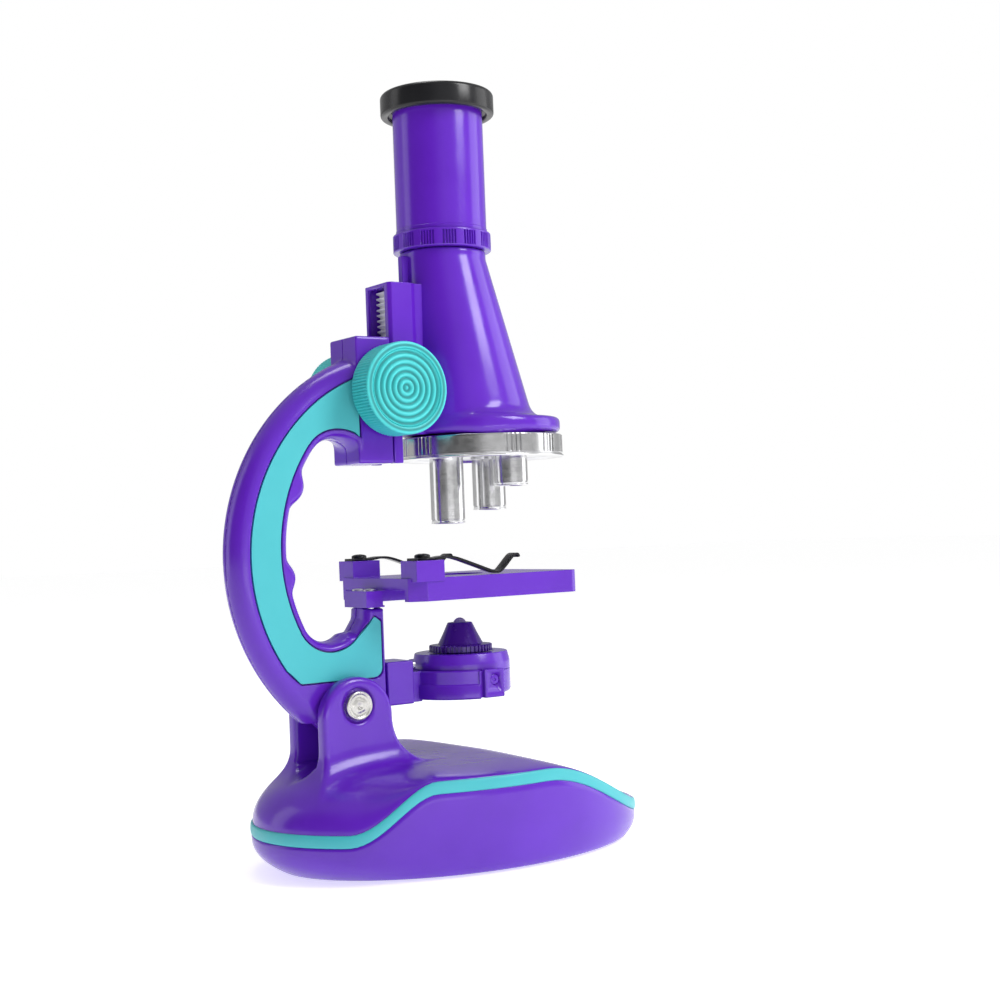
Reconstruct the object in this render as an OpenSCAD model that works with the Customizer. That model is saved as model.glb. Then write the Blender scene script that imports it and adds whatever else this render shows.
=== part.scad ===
// Children's compound microscope on a tilting C-shaped arm.
// Frame: +Z up, +X towards the free end of the stage, mid-plane Y = 0, right-hand side at -Y.
// Origin on the table, under the middle of the model's length. Millimetres.

/* [Base] */
// Half length of the oval foot
base_half_l = 59.5; // [56:0.5:62]
// Half width of the oval foot
base_half_w = 42; // [38:1:44]
// Wall thickness of the moulded shells
wall = 2; // [1.6:0.1:2.4]

/* [Arm] */
// Radius of the arm's back, on the mid-plane
arm_r = 59.1; // [58:0.1:60]
// Half thickness of the C-shaped arm
arm_half_t = 5.4; // [5:0.1:5.6]
// Height of the tilt pivot
pivot_z = 45.6; // [45:0.1:46]

/* [Optics] */
// Height of the stage's top face
stage_z = 79.5; // [78:0.1:80]
// Radius of the eyepiece tube
tube_r = 13.2; // [13:0.1:13.6]
// Overall height, at the eyecup's rim
top_z = 219.9; // [216:0.1:224]
// Distance from the turret's axis to each objective's axis
objective_pitch = 11; // [10.8:0.1:11]
// Angle of the turret from its nearest click stop
turret_rest = -14; // [-30:1:30]

/* [Focus] */
// Radius of the focus knobs
knob_r = 12.9; // [11:0.1:12.9]
// Teeth on the focus pinion
pinion_teeth = 18; // [18]
// Gear module of the rack and pinion
gear_module = 0.5; // [0.5]

/* [Hidden] */

$fn = 64;
purple = "#5a28b4";
teal = "#52d1cf";
black = "#1a1a1c";
silver = "#c8c8cc";
clear = "#d8e4ea";
run = 0.05;      // radial clearance of a running fit
gap = 0.3;       // clearance between moulded faces that slide
eps = 0.01;

// ---- where the main axes stand
optic_x = 8.2;
turret_x = optic_x + objective_pitch;
lamp_x = 9.4;
pivot_x = -31.2;
base_cx = 3.5;

// ---- base
base_n = 60;                 // points round the oval
foot_z = 0.6;                // lower edge of the skirt
band_half = 1.65;            // half height of the trim band
band_gap = 0.1;              // play between the band and the shell above or below it
band_rear_z = 12.3;
band_mid_z = 25.3;
band_front_z = 8.4;
crest_rear_z = 29;
crest_rise = 3.2;            // how far the deck stands over the band at the front
ear_in = 6.2;                // inner face of each clevis ear
ear_out = 11;
ear_r = 10.8;
ear_cx = -31.1;
ear_cz = 42.5;
clevis_floor = 28.7;
bolt_r = 2.5;
bolt_head_r = 4.1;
bolt_recess_r = 4.8;
foot_r = 5;
foot_places = [[-28, 12], [-28, -12], [40, 16], [40, -16]];
base_screw_places = [[-40, 0], [46, 0], [6, 24], [6, -24]];
cover_t = 2;

// ---- arm
arm_c = [-5.0, 86.0];        // centre of the back's arc
rim_c = [-5.4, 86.3];        // centre of the inlay's outer arc
rim_r = 53.3;
grip_c = [-0.5, 87.9];       // centre of the finger side's arc
grip_r = 46.7;
round_out = 4.4;             // depth of the rounding on the back
round_in = 2.0;              // depth of the rounding on the finger side
low_c = [-36, 70.6];         // lower end of the finger gap
low_r = 7.9;
high_c = [-31.9, 110.9];     // upper end of the finger gap
high_r = 7.7;
post_x = -18.5;              // front face of the post
arm_foot_z = 41;
lug_r = 9;
horn_z = 71.6;               // top of the horn, under the stage's lug
block_x0 = -26.1;            // guide block at the arm's top
block_x1 = -15.1;
block_half = 7.56;
block_z0 = 111.7;
block_z1 = 147.1;
inlay_t = 0.9;
inlay_groove = 0.35;
arm_screw_r = 1.1;
arm_screw_places = [[-57.6, 103], [-59.2, 84], [-54.6, 65], [-27.5, 56], [-20.5, 142.5]];

// ---- stage and clips
stage_x0 = -18.7;
stage_x1 = 37.5;
stage_half = 21.5;
stage_t = 3.3;
skirt_z = 73.1;
skirt_t = 2;
stage_corner = 3;
rear_opening = stage_half - 3 - skirt_t;
pad_x0 = -17.9;
pad_x1 = -8.85;
pad_in = 13.6;
pad_out = 22.05;
pad_z = 84.3;
lug_half = 6.4;
lug_x0 = -25;
lug_x1 = -19.2;
stage_screw_x = -22.1;
stage_screw_y = 3.2;
clip_x = -13.4;              // swivel axis of a clip
clip_y = 17.8;
clip_t = 0.6;
clip_w = 4.4;

// ---- focus
pitch_r = pinion_teeth * gear_module / 2;
knob_x = -16;
knob_z = 131.9;
knob_in = 8.9;
knob_out = 17.9;
shaft_r = 1.1;
slide_x0 = -14.6;            // rear face of the tube's slide
slide_half = 7.1;
slide_top = 162.9;
slot_top = 161.8;
lip_x = slide_x0 + 0.9;
slot_x1 = -9.5;
mouth_half = 4.5;
cavity_half = 5.3;
rack_x = knob_x + pitch_r;   // pitch line of the rack
tooth_pitch = PI * gear_module;
addendum = gear_module;
dedendum = 1.25 * gear_module;

// ---- tube
flange_r = 23.6;
flange_z0 = 119.9;
flange_z1 = 124.5;
cone_x = 14.8;
cone_r0 = 19.3;
cone_r1 = 12.6;
cone_z1 = 171;
neck_z = 173.2;
socket_r = 11;
cone_wall = 2.3;

// ---- turret
disc_r = 24.1;
disc_z0 = 112.8;
disc_z1 = 119.3;
barrel_r = 5;
spigot_r = 4.2;
objective_bore = 3;
// name order: long, medium, short
tip_z = [94.2, 98.0, 104.6];
objective_angle = [180, 60, -60];

// ---- eyepiece
ring_z0 = neck_z + 0.2;
ring_z1 = 178.6;
ring_r = 14.3;
cup_r = 16.6;
cup_z0 = 213.3;
tube_bore = 11.6;

// ---- lamp
drum_r = 14.2;
drum_z0 = 45.0;
drum_z1 = 56.8;
drum_split = 51.7;
drum_top_r = 13.5;
lamp_pivot_z = 49.6;
lamp_pin_r = 1.5;
fork_in = 15.2;
fork_out = 16.9;
fork_z0 = 44.4;
fork_z1 = 52.5;
fork_block_l = 8.5;
fork_neck_half = 3.2;
lamp_collar_r = 9.2;
lamp_collar_z1 = 58.9;
lamp_cone_z1 = 65.3;
lamp_cone_r0 = 6.6;
lamp_cone_r1 = 3.5;
led_board_t = 1.2;

// smooth step from 0 at a to 1 at b
function ease(x, a, b) = let (t = min(1, max(0, (x - a) / (b - a)))) t * t * (3 - 2 * t);
// height of the trim band's middle line
function band_z(x) = band_rear_z + (band_mid_z - band_rear_z) * ease(x, -44, -23)
    - (band_mid_z - band_front_z) * ease(x, 9, 62);
// height of the deck along the mid-plane
function crest_z(x) = let (w = ease(x, -30, -8))
    crest_rear_z * (1 - w) + (band_z(x) + crest_rise) * w;
// fullness of the shoulder, boxier at the rear end
function fullness(t) = cos(t) < 0 ? 5 + 5 * cos(t) * cos(t) : 5 - cos(t);
function oval(t, inset) = [base_cx + (base_half_l - inset) * cos(t), (base_half_w - inset) * sin(t)];
// deck surface at angle t and fraction f of the way out, lowered by drop
function deck(t, f, inset, drop) = let (
        p = [base_cx + f * (base_half_l - inset) * cos(t), f * (base_half_w - inset) * sin(t)],
        edge = band_z(oval(t, inset)[0]) + band_half,
        rise = crest_z(p[0]) - edge)
    [p[0], p[1], edge + rise * sqrt(1 - pow(f, fullness(t))) - drop];
function ring_of(n) = [for (i = [0 : n - 1]) 360 * i / n];

// solid through a stack of closed rings, with a middle point at each end
module stacked(rings, low_mid, high_mid) {
    n = len(rings[0]);
    m = len(rings);
    points = concat([for (r = rings) each r], [low_mid, high_mid]);
    sides = [for (k = [0 : m - 2], i = [0 : n - 1]) let (j = (i + 1) % n)
        each [[k * n + i, (k + 1) * n + i, (k + 1) * n + j], [k * n + i, (k + 1) * n + j, k * n + j]]];
    lows = [for (i = [0 : n - 1]) [m * n, i, (i + 1) % n]];
    highs = [for (i = [0 : n - 1]) [m * n + 1, (m - 1) * n + (i + 1) % n, (m - 1) * n + i]];
    polyhedron(points, concat(sides, lows, highs), convexity = 6);
}

// closed ring whose cross-section is a loop of points at each angle
module looped(loops) {
    n = len(loops);
    m = len(loops[0]);
    sides = [for (i = [0 : n - 1], k = [0 : m - 1]) let (j = (i + 1) % n, l = (k + 1) % m)
        each [[i * m + k, i * m + l, j * m + l], [i * m + k, j * m + l, j * m + k]]];
    polyhedron([for (p = loops) each p], sides, convexity = 6);
}

// plate standing in the XZ plane, between two distances out on the right-hand (-Y) side
module on_right(y0, y1) {
    translate([0, -y0, 0]) rotate([90, 0, 0]) linear_extrude(y1 - y0) children();
}

module along_y(x, z, y0, y1, r) {
    translate([x, y0, z]) rotate([-90, 0, 0]) cylinder(r = r, h = y1 - y0);
}

module upright(x, y, z0, z1, r) {
    translate([x, y, z0]) cylinder(r = r, h = z1 - z0);
}

module tube(r_out, r_in, z0, z1) {
    translate([0, 0, z0]) difference() {
        cylinder(r = r_out, h = z1 - z0);
        translate([0, 0, -eps]) cylinder(r = r_in, h = z1 - z0 + 2 * eps);
    }
}

// pan-head screw pointing down from a head that rests at z
module screw_down(z, head_r, head_h, shank_r, length) {
    upright(0, 0, z, z + head_h, head_r);
    upright(0, 0, z - length, z + eps, shank_r);
}

// ---------------------------------------------------------------- base

module dome(inset, drop, below) {
    steps = [1, 0.99, 0.97, 0.93, 0.86, 0.76, 0.6, 0.4, 0.2];
    angles = ring_of(base_n);
    // under-side of the rim, flat where the shell rests on the band
    rim = [for (t = angles) let (
            p = deck(t, 1, inset, drop),
            q = deck(t, below > 0 ? 1 : 0.96, inset, drop))
        [q[0], q[1], p[2] - below]];
    rings = [for (f = steps) [for (t = angles) deck(t, f, inset, drop)]];
    stacked(concat([rim], rings), [base_cx, 0, 6], [base_cx, 0, crest_z(base_cx) - drop]);
}

module ear_outline() {
    translate([ear_cx, ear_cz]) circle(ear_r);
    translate([ear_cx - ear_r, 27]) square([2 * ear_r, ear_cz - 27]);
    difference() {
        translate([ear_cx + ear_r - eps, 27]) square([10, 13]);
        translate([ear_cx + ear_r + 11.4, 40.4]) circle(11.4);
    }
}

module base_shell_upper() color(purple) difference() {
    union() {
        difference() {
            dome(0, 0, 0);
            dome(wall, wall, 6);
        }
        on_right(ear_in, ear_out) ear_outline();
        on_right(-ear_out, -ear_in) ear_outline();
        for (p = base_screw_places)
            upright(p[0], p[1], foot_z + cover_t + 0.1, screw_post_top(p), 3);
    }
    along_y(pivot_x, pivot_z, -ear_out - 1, ear_out + 1, bolt_r + run);
    along_y(pivot_x, pivot_z, -ear_out - 1, -ear_out + 1, bolt_recess_r);
    along_y(pivot_x, pivot_z, ear_out - 1, ear_out + 1, bolt_recess_r);
    for (p = base_screw_places)
        upright(p[0], p[1], 0, foot_z + cover_t + 7, arm_screw_r + run);
}
// top of a screw post, inside the deck's thickness
function screw_post_top(p) = let (
        f = norm([(p[0] - base_cx) / base_half_l, p[1] / base_half_w]),
        t = atan2(p[1] / base_half_w, (p[0] - base_cx) / base_half_l))
    deck(t, f, 0, 0)[2] - 0.8;

module base_trim_band() color(teal) looped([for (t = ring_of(base_n)) let (
        z = band_z(oval(t, 0)[0]),
        a = oval(t, -0.3),
        b = oval(t, 1.2))
    [[b[0], b[1], z - band_half + band_gap], [a[0], a[1], z - band_half + 0.4],
        [a[0], a[1], z + band_half - 0.4], [b[0], b[1], z + band_half - band_gap]]]);

// inset of the skirt at fraction s of the way down from the band
function skirt_inset(t, s) = (5.2 - 2.8 * cos(t)) * pow(s, 2.4);

module base_shell_lower() color(purple) looped([for (t = ring_of(base_n)) let (
        z = band_z(oval(t, 0)[0]),
        z1 = z - band_half - eps,
        fall = z1 - foot_z,
        down = [for (s = [1, 0.85, 0.65, 0.4, 0]) let (p = oval(t, skirt_inset(t, s)))
            [p[0], p[1], z1 - s * fall]],
        up = [for (s = [0, 0.4, 0.65, 1]) let (p = oval(t, skirt_inset(t, s) + wall + 1.4))
            [p[0], p[1], z1 - s * fall]])
    concat(down, up)]);

module base_bottom_cover() color(purple) difference() {
    translate([0, 0, foot_z]) linear_extrude(cover_t)
        polygon([for (t = ring_of(base_n)) oval(t, skirt_inset(t, 1) + wall + 1.5)]);
    for (p = base_screw_places) {
        upright(p[0], p[1], 0, 4, arm_screw_r + 0.2);
        upright(p[0], p[1], 0, foot_z + 1.2, 2.6);
    }
    for (p = foot_places) upright(p[0], p[1], 0, 1.4, foot_r + 0.05);
}

module rubber_feet() color("#2a2a2c") for (p = foot_places) upright(p[0], p[1], 0, 1.4, foot_r);

module base_screws() color(silver) for (p = base_screw_places)
    translate([p[0], p[1], 0]) mirror([0, 0, 1]) screw_down(-foot_z - 1.2, 2.3, 0.6, arm_screw_r, 7.5);

module pivot_bolt() color(silver) {
    along_y(pivot_x, pivot_z, -ear_out + 0.9, ear_out + 1, bolt_r);
    along_y(pivot_x, pivot_z, -ear_out - 0.6, -ear_out + 1, bolt_head_r);
}

module pivot_nut() color(silver) difference() {
    translate([pivot_x, ear_out - 1, pivot_z]) rotate([-90, 0, 0]) cylinder(r = 4.5, h = 2.2, $fn = 6);
    along_y(pivot_x, pivot_z, ear_out - 2, ear_out + 3, bolt_r + 0.02);
}

module pivot_washers() color(black) for (side = [-1, 1]) difference() {
    y0 = side < 0 ? -ear_in + run : arm_half_t + run;
    y1 = side < 0 ? -arm_half_t - run : ear_in - run;
    along_y(pivot_x, pivot_z, y0, y1, 6);
    along_y(pivot_x, pivot_z, y0 - 1, y1 + 1, bolt_r + run);
}

// ---------------------------------------------------------------- arm

// finger gap of the arm, grown by g
module finger_gap(g) {
    intersection() {
        translate(grip_c) circle(grip_r + g);
        translate([-60, low_c[1]]) square([60, high_c[1] - low_c[1]]);
    }
    translate(low_c) circle(low_r + g);
    translate(high_c) circle(high_r + g);
    translate([high_c[0], low_c[1]]) square([40, high_c[1] + high_r + g - low_c[1]]);
    polygon([low_c, low_c + (low_r + g) * [cos(-50), sin(-50)], [-27.4 + g / 2, 65.4 - g],
        [-25.2 + g / 2, 68.4], [-25, horn_z], [-25, 90], low_c + [0, 20]]);
}

// two soft ridges on the finger side
module finger_ridges(g) {
    translate([-46.7 - g, 106]) circle(5.5);
    translate([-49.3 - g, 81]) circle(4.6);
}

module arm_outline(cut_out, cut_in) {
    difference() {
        union() {
            intersection() {
                translate(arm_c) circle(arm_r - cut_out);
                polygon([[-70, arm_foot_z + cut_in], [-33, arm_foot_z + cut_in],
                    [post_x - 6, arm_foot_z + cut_in], [post_x - cut_in / 4, arm_foot_z + 6],
                    [post_x - cut_in / 4, horn_z], [block_x0 + 1, horn_z + 1], [block_x0 + 1, 150],
                    [-70, 150]]);
            }
            translate([pivot_x, pivot_z]) circle(lug_r - cut_in);
        }
        difference() {
            finger_gap(cut_in);
            finger_ridges(cut_in);
        }
        // behind the ridges only the gap's own right-hand side stays open
        translate([block_x0 + eps, horn_z]) square([40, 90]);
    }
}

// stack of slices that follows the arm's rounded edges
module arm_shape() {
    slices = [0, 2.2, 3.4, 4.3, 4.9, arm_half_t];
    for (i = [0 : 4]) let (
            y = (slices[i] + slices[i + 1]) / 2,
            bend = 1 - sqrt(1 - pow(y / (arm_half_t + 0.15), 2)))
        on_right(slices[i], slices[i + 1] + (i < 4 ? eps : 0))
            arm_outline(round_out * bend, round_in * bend);
}

// coloured panel let into the arm's side, grown by g
module inlay_outline(g) {
    difference() {
        intersection() {
            translate(rim_c) circle(rim_r + g);
            union() {
                polygon([[-70, 55 - g], [-48.6 - g, 55 - g], [-46.2, 52.3 - g], [-22.6, 52.3 - g],
                    [-20.4 + g, 54.5 - g], [-20.4 + g, 67.2], [-21.6, 68.5 + g], [-23, 68.3 + g],
                    [-30, 78], [-36, 100], [-26.3, 112], [-26.3, 140], [-70, 140]]);
            }
        }
        difference() {
            union() {
                intersection() {
                    translate(grip_c) circle(grip_r + round_in + 0.6 - g);
                    translate([-60, low_c[1]]) square([60, high_c[1] - low_c[1]]);
                }
                translate(low_c) circle(low_r + round_in + 0.7 - g);
                translate(high_c) circle(high_r + round_in + 1 - g);
                polygon([low_c, low_c + (low_r + round_in + 0.7 - g) * [cos(-50), sin(-50)],
                    [-25.6, 64.2 + g], [-23, 68.3 + g], [-22, 90], low_c + [0, 20]]);
                translate([high_c[0], low_c[1]]) square([40, high_c[1] + 8 - low_c[1]]);
            }
        }
    }
}

// guide block half with the T-shaped tongue that the slide runs on
module guide_block() {
    translate([block_x0, -block_half, block_z0])
        cube([block_x1 - block_x0, block_half, block_z1 - block_z0]);
    translate([block_x1 - eps, -mouth_half + gap, block_z0 + 1.3])
        cube([lip_x + gap - block_x1 + eps, mouth_half - gap, block_z1 - block_z0 - 2.4]);
    translate([lip_x + gap - eps, -cavity_half + gap, block_z0 + 1.3])
        cube([1.13, cavity_half - gap, block_z1 - block_z0 - 2.4]);
}

module arm_screw_at(p, y0, y1, r) {
    along_y(p[0], p[1], y0, y1, r);
}

module arm_half() difference() {
    union() {
        arm_shape();
        guide_block();
    }
    // hollow inside the C
    on_right(-1, 3.1) difference() {
        intersection() {
            translate(arm_c) circle(arm_r - round_out - 1.4);
            translate([-70, 62]) square([60, 48]);
        }
        translate(grip_c) circle(grip_r + round_in + 1.6);
        for (p = arm_screw_places) translate(p) circle(3);
        translate([-55.6, 106]) circle(13);
        translate([-57.6, 79]) circle(1);
    }
    on_right(arm_half_t - inlay_t - 0.1, arm_half_t + 1) inlay_outline(inlay_groove);
    along_y(pivot_x, pivot_z, -10, 10, bolt_r + run);
    along_y(knob_x, knob_z, -20, 20, shaft_r + run);
    along_y(knob_x, knob_z, -2.9, 2.9, 5.4);
    // pilot holes for the stage and the lamp fork
    for (side = [-1, 1])
        upright(stage_screw_x, side * stage_screw_y, 64, horn_z + 1, arm_screw_r + run);
    translate([post_x - 9, 0, 54.2]) rotate([0, 90, 0]) cylinder(r = arm_screw_r + run, h = 12);
}

module arm_half_right() color(purple) difference() {
    arm_half();
    for (p = arm_screw_places) arm_screw_at(p, -3.9, 1, arm_screw_r + run);
}

module arm_half_left() color(purple) difference() {
    mirror([0, 1, 0]) arm_half();
    for (p = arm_screw_places) {
        arm_screw_at(p, -1, 8, arm_screw_r + 0.2);
        arm_screw_at(p, 3, 9, 2.3);
    }
}

module arm_inlay_right() color(teal)
    on_right(arm_half_t - inlay_t, arm_half_t) inlay_outline(0);

module arm_inlay_left() color(teal)
    on_right(-arm_half_t, -arm_half_t + inlay_t) inlay_outline(0);

module arm_screws() color(silver) for (p = arm_screw_places) {
    arm_screw_at(p, -3.7, 3.1, arm_screw_r);
    arm_screw_at(p, 3, 4.3, 2.1);
}

// ---------------------------------------------------------------- stage and clips

module stage_outline(inset) {
    x0 = stage_x0;
    x1 = stage_x1 - inset;
    h = stage_half - inset;
    c = stage_corner - inset;
    polygon([[x0, -h + 3], [x0 + 4.5, -h], [x1 - c, -h], [x1, -h + c], [x1, h - c], [x1 - c, h],
        [x0 + 4.5, h], [x0, h - 3]]);
    for (side = [-1, 1]) translate([x1 - c, side * (h - c)]) circle(c);
}

module stage_plate() color(purple) difference() {
    union() {
        translate([0, 0, skirt_z]) linear_extrude(stage_z - skirt_z) stage_outline(0);
        for (side = [-1, 1]) translate([pad_x0, side > 0 ? pad_in : -pad_out, stage_z - 1])
            cube([pad_x1 - pad_x0, pad_out - pad_in, pad_z - stage_z + 1]);
        translate([lug_x0, -lug_half, horn_z]) cube([lug_x1 - lug_x0, 2 * lug_half, 4.6]);
        translate([lug_x1 - eps, -4.5, skirt_z]) cube([0.6, 9, 3.1]);
    }
    difference() {
        translate([0, 0, skirt_z - 1]) linear_extrude(stage_z - stage_t - skirt_z + 1) union() {
            stage_outline(skirt_t);
            translate([stage_x0 - 1, -rear_opening]) square([6, 2 * rear_opening]);
        }
        translate([lug_x0, -4.5, skirt_z - 2]) cube([16, 9, 10]);
        upright(optic_x, 0, skirt_z - 2, stage_z, 8);
    }
    upright(optic_x, 0, skirt_z - 2, stage_z + 1, 5.5);
    upright(optic_x, 0, stage_z - 0.6, stage_z + 1, 8.5);
    for (side = [-1, 1]) upright(stage_screw_x, side * stage_screw_y, 70, 80, arm_screw_r + 0.2);
    for (side = [-1, 1]) upright(clip_x, side * clip_y, 79, pad_z + 1, 1 + run);
}

module stage_screws() color(silver) for (side = [-1, 1])
    translate([stage_screw_x, side * stage_screw_y, 0]) screw_down(horn_z + 4.6, 1.8, 0.6, arm_screw_r, 10.5);

module clip_screws() color(black) for (side = [-1, 1])
    translate([clip_x, side * clip_y, 0]) screw_down(pad_z + clip_t + 0.15, 2.2, 1.15, 1, 5.5);

// middle line of a clip, along X and Z from its swivel
clip_line = [[-3.6, 84.65], [3.4, 84.65], [6.6, 85], [10.2, 84.6], [16.4, 82.5], [20.8, 80.9],
    [23.2, 80.1], [24.8, 80.2], [26.6, 81.7], [30.2, 84.2]];

module ribbon(line, t) {
    n = len(line);
    along = [for (i = [0 : n - 1]) let (d = line[min(n - 1, i + 1)] - line[max(0, i - 1)]) d / norm(d)];
    upper = [for (i = [0 : n - 1]) line[i] + t / 2 * [-along[i][1], along[i][0]]];
    lower = [for (i = [n - 1 : -1 : 0]) line[i] - t / 2 * [-along[i][1], along[i][0]]];
    polygon(concat(upper, lower));
}

module clip(side) color(black) translate([clip_x, side * clip_y, 0]) difference() {
    union() {
        on_right(-clip_w / 2, clip_w / 2) ribbon(clip_line, clip_t);
        along_y(30.6, 84.4, -clip_w / 2, clip_w / 2, 0.9);
        upright(0, 0, pad_z + 0.05, pad_z + clip_t + 0.05, 3.4);
    }
    upright(0, 0, 80, 90, 1 + run);
}

module clip_right() clip(-1);
module clip_left() clip(1);

// ---------------------------------------------------------------- lamp fork

module lamp_fork() color(purple) difference() {
    union() {
        difference() {
            translate([lamp_x, 0, 0]) tube(fork_out, fork_in, fork_z0, fork_z1);
            translate([lamp_x, -30, 40]) cube([30, 60, 20]);
        }
        for (side = [-1, 1]) translate([lamp_x - 3.3, side > 0 ? fork_in : -fork_out - 0.5, fork_z0 + 0.2])
            cube([6.6, fork_out + 0.5 - fork_in, fork_z1 - fork_z0 + 0.1]);
        difference() {
            union() {
                translate([post_x, -arm_half_t, 43.8]) cube([fork_block_l, 2 * arm_half_t, 12.2]);
                translate([post_x, -fork_neck_half, 43.8]) cube([12.4, 2 * fork_neck_half, 12.2]);
            }
            upright(lamp_x, 0, 40, 60, fork_in + 0.6);
            translate([lamp_x - fork_in - 2.2, -10, fork_z1]) cube([10, 20, 10]);
        }
    }
    along_y(lamp_x, lamp_pivot_z, -20, 20, lamp_pin_r + run);
    translate([post_x - 1, 0, 54.2]) rotate([0, 90, 0]) cylinder(r = arm_screw_r + 0.2, h = 20);
}

module fork_screw() color(silver) translate([0, 0, 54.2]) rotate([0, 90, 0]) {
    translate([0, 0, post_x - 7]) cylinder(r = arm_screw_r, h = 17.6);
    translate([0, 0, lamp_x - fork_in - 2.2]) cylinder(r = 1.7, h = 1);
}

// ---------------------------------------------------------------- focus

module focus_shaft() color(silver) along_y(knob_x, knob_z, -16.4, 16.4, shaft_r);

module focus_pinion() color(silver) translate([knob_x, 2.7, knob_z]) rotate([90, 0, 0]) difference() {
    linear_extrude(5.4) union() {
        circle(pitch_r - dedendum);
        for (i = [0 : pinion_teeth - 1]) rotate(i * 360 / pinion_teeth)
            polygon([[pitch_r - dedendum - 0.3, -0.5], [pitch_r, -0.31], [pitch_r + addendum - 0.05, -0.1],
                [pitch_r + addendum - 0.05, 0.1], [pitch_r, 0.31], [pitch_r - dedendum - 0.3, 0.5]]);
    }
    translate([0, 0, -1]) cylinder(r = shaft_r + 0.01, h = 8);
}

// knob face with raised rings
function knob_face() = [for (k = [0 : 6]) let (r = 1 + 1.45 * k)
    each [[r, 8.75], [r + 0.35, 8.4], [r + 1.1, 8.4], [r + 1.45, 8.75]]];

module knob() difference() {
    rotate_extrude() polygon(concat([[0, 0], [knob_r - 0.8, 0], [knob_r, 0.8], [knob_r, 7.8],
        [knob_r - 1.2, 9], [knob_r - 1.7, 8.75]],
        [for (i = [len(knob_face()) - 1 : -1 : 0]) knob_face()[i]], [[0, 8.75]]));
    translate([0, 0, -1]) cylinder(r = shaft_r + 0.01, h = 8.6);
    translate([0, 0, -1]) difference() {
        cylinder(r = knob_r - 2.2, h = 5);
        cylinder(r = shaft_r + 2, h = 6);
    }
}

module focus_knob_right() color(teal)
    translate([knob_x, -knob_in, knob_z]) rotate([90, 0, 0]) knob();
module focus_knob_left() color(teal)
    translate([knob_x, knob_in, knob_z]) rotate([-90, 0, 0]) knob();

// ---------------------------------------------------------------- tube

module cone_hull(shrink, z0, z1) {
    f = (z1 - flange_z1) / (cone_z1 - flange_z1);
    hull() {
        upright(cone_x, 0, z0, z0 + 0.1, cone_r0 - shrink, $fn = 48);
        upright(cone_x + (optic_x - cone_x) * f, 0, z1 - 0.1, z1,
            cone_r0 + (cone_r1 - cone_r0) * f - shrink, $fn = 48);
    }
}

module body_tube() color(purple) difference() {
    union() {
        cone_hull(0, flange_z1 - 1, cone_z1);
        upright(optic_x, 0, cone_z1 - 0.5, neck_z, cone_r1);
        translate([turret_x, 0, flange_z0]) rotate_extrude() polygon([[0, 0], [flange_r, 0],
            [flange_r, 3.6], [flange_r - 1, 4.6], [0, 4.6]]);
        difference() {
            translate([slide_x0, -slide_half, block_z0])
                cube([optic_x - slide_x0, 2 * slide_half, slide_top - block_z0]);
            translate([-11.7, -20, block_z0 - 1]) cube([40, 40, flange_z0 + 1.2 - block_z0]);
        }
        translate([slide_x0 + 8, -1.2, slide_top - 1]) cube([6, 2.4, 10]);
    }
    // light path, from the turret up to the eyepiece's socket
    difference() {
        cone_hull(cone_wall, flange_z1, 162);
        translate([turret_x, 0, 120]) cylinder(r = 4, h = 9);
    }
    upright(optic_x, 0, flange_z0 - 1, flange_z1 + 1, 4.8);
    upright(optic_x, 0, 158, neck_z + 1, socket_r);
    upright(turret_x, 0, flange_z0 - 1, 127.5, 1.5);
    upright(turret_x + 17, 0, flange_z0 - 1, 123.6, 1.3);
    translate([slide_x0 - 1, -mouth_half, block_z0 - 1])
        cube([lip_x - slide_x0 + 1 + eps, 2 * mouth_half, slot_top - block_z0 + 1]);
    translate([lip_x, -cavity_half, block_z0 - 1])
        cube([slot_x1 - lip_x, 2 * cavity_half, slot_top - block_z0 + 1]);
}

module focus_rack() color(silver) on_right(-4.6, 4.6) difference() {
    translate([rack_x - addendum, 121.5]) square([slot_x1 - rack_x + addendum, 40]);
    // gaps between the teeth, one of them level with the pinion's axis
    for (i = [-7 : 19]) translate([rack_x, knob_z + i * tooth_pitch])
        polygon([[-addendum - 0.1, -0.62], [0, -0.42], [dedendum, -0.2], [dedendum, 0.2], [0, 0.42],
            [-addendum - 0.1, 0.62]]);
}

module turret_screw() color(silver) {
    upright(turret_x, 0, disc_z0 + 0.1, disc_z0 + 1.4, 3.2);
    upright(turret_x, 0, disc_z0 + 1.3, 127, 1.45);
}

module turret_washer() color(silver) translate([turret_x, 0, 0])
    tube(6, 1.6, disc_z1 + run, flange_z0 - run);

module detent_ball() color(silver) translate([turret_x + 17, 0, disc_z1 + 0.05 + 1.2]) sphere(1.2);

module detent_spring() color(silver) translate([turret_x + 17, 0, 0])
    tube(1.1, 0.7, disc_z1 + 2.5, 123.5);

// ---------------------------------------------------------------- turret

module at_objective(i) translate([turret_x, 0, 0]) rotate(turret_rest + objective_angle[i])
    translate([objective_pitch, 0, 0]) children();

module turret_disc() color(silver) difference() {
    translate([turret_x, 0, disc_z0]) rotate_extrude() polygon([[0, 0.6], [disc_r - 3, 0.6],
        [disc_r - 2.4, 0], [disc_r + 0.2, 0], [disc_r + 0.3, 0.3], [disc_r + 0.2, 0.8],
        [disc_r, 1], [disc_r, 6.1], [disc_r - 0.4, 6.5], [0, 6.5]]);
    upright(turret_x, 0, disc_z0 - 1, disc_z0 + 1.5, 3.5);
    upright(turret_x, 0, disc_z0 - 1, disc_z1 + 1, 1.45 + run);
    for (i = [0 : 2]) at_objective(i) upright(0, 0, disc_z0 - 1, disc_z1 + 1, spigot_r);
    // click stops for the detent ball
    for (i = [0 : 2]) translate([turret_x, 0, 0]) rotate(turret_rest + 120 * i)
        translate([17, 0, disc_z1 + 0.75]) sphere(1.2);
}

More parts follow.
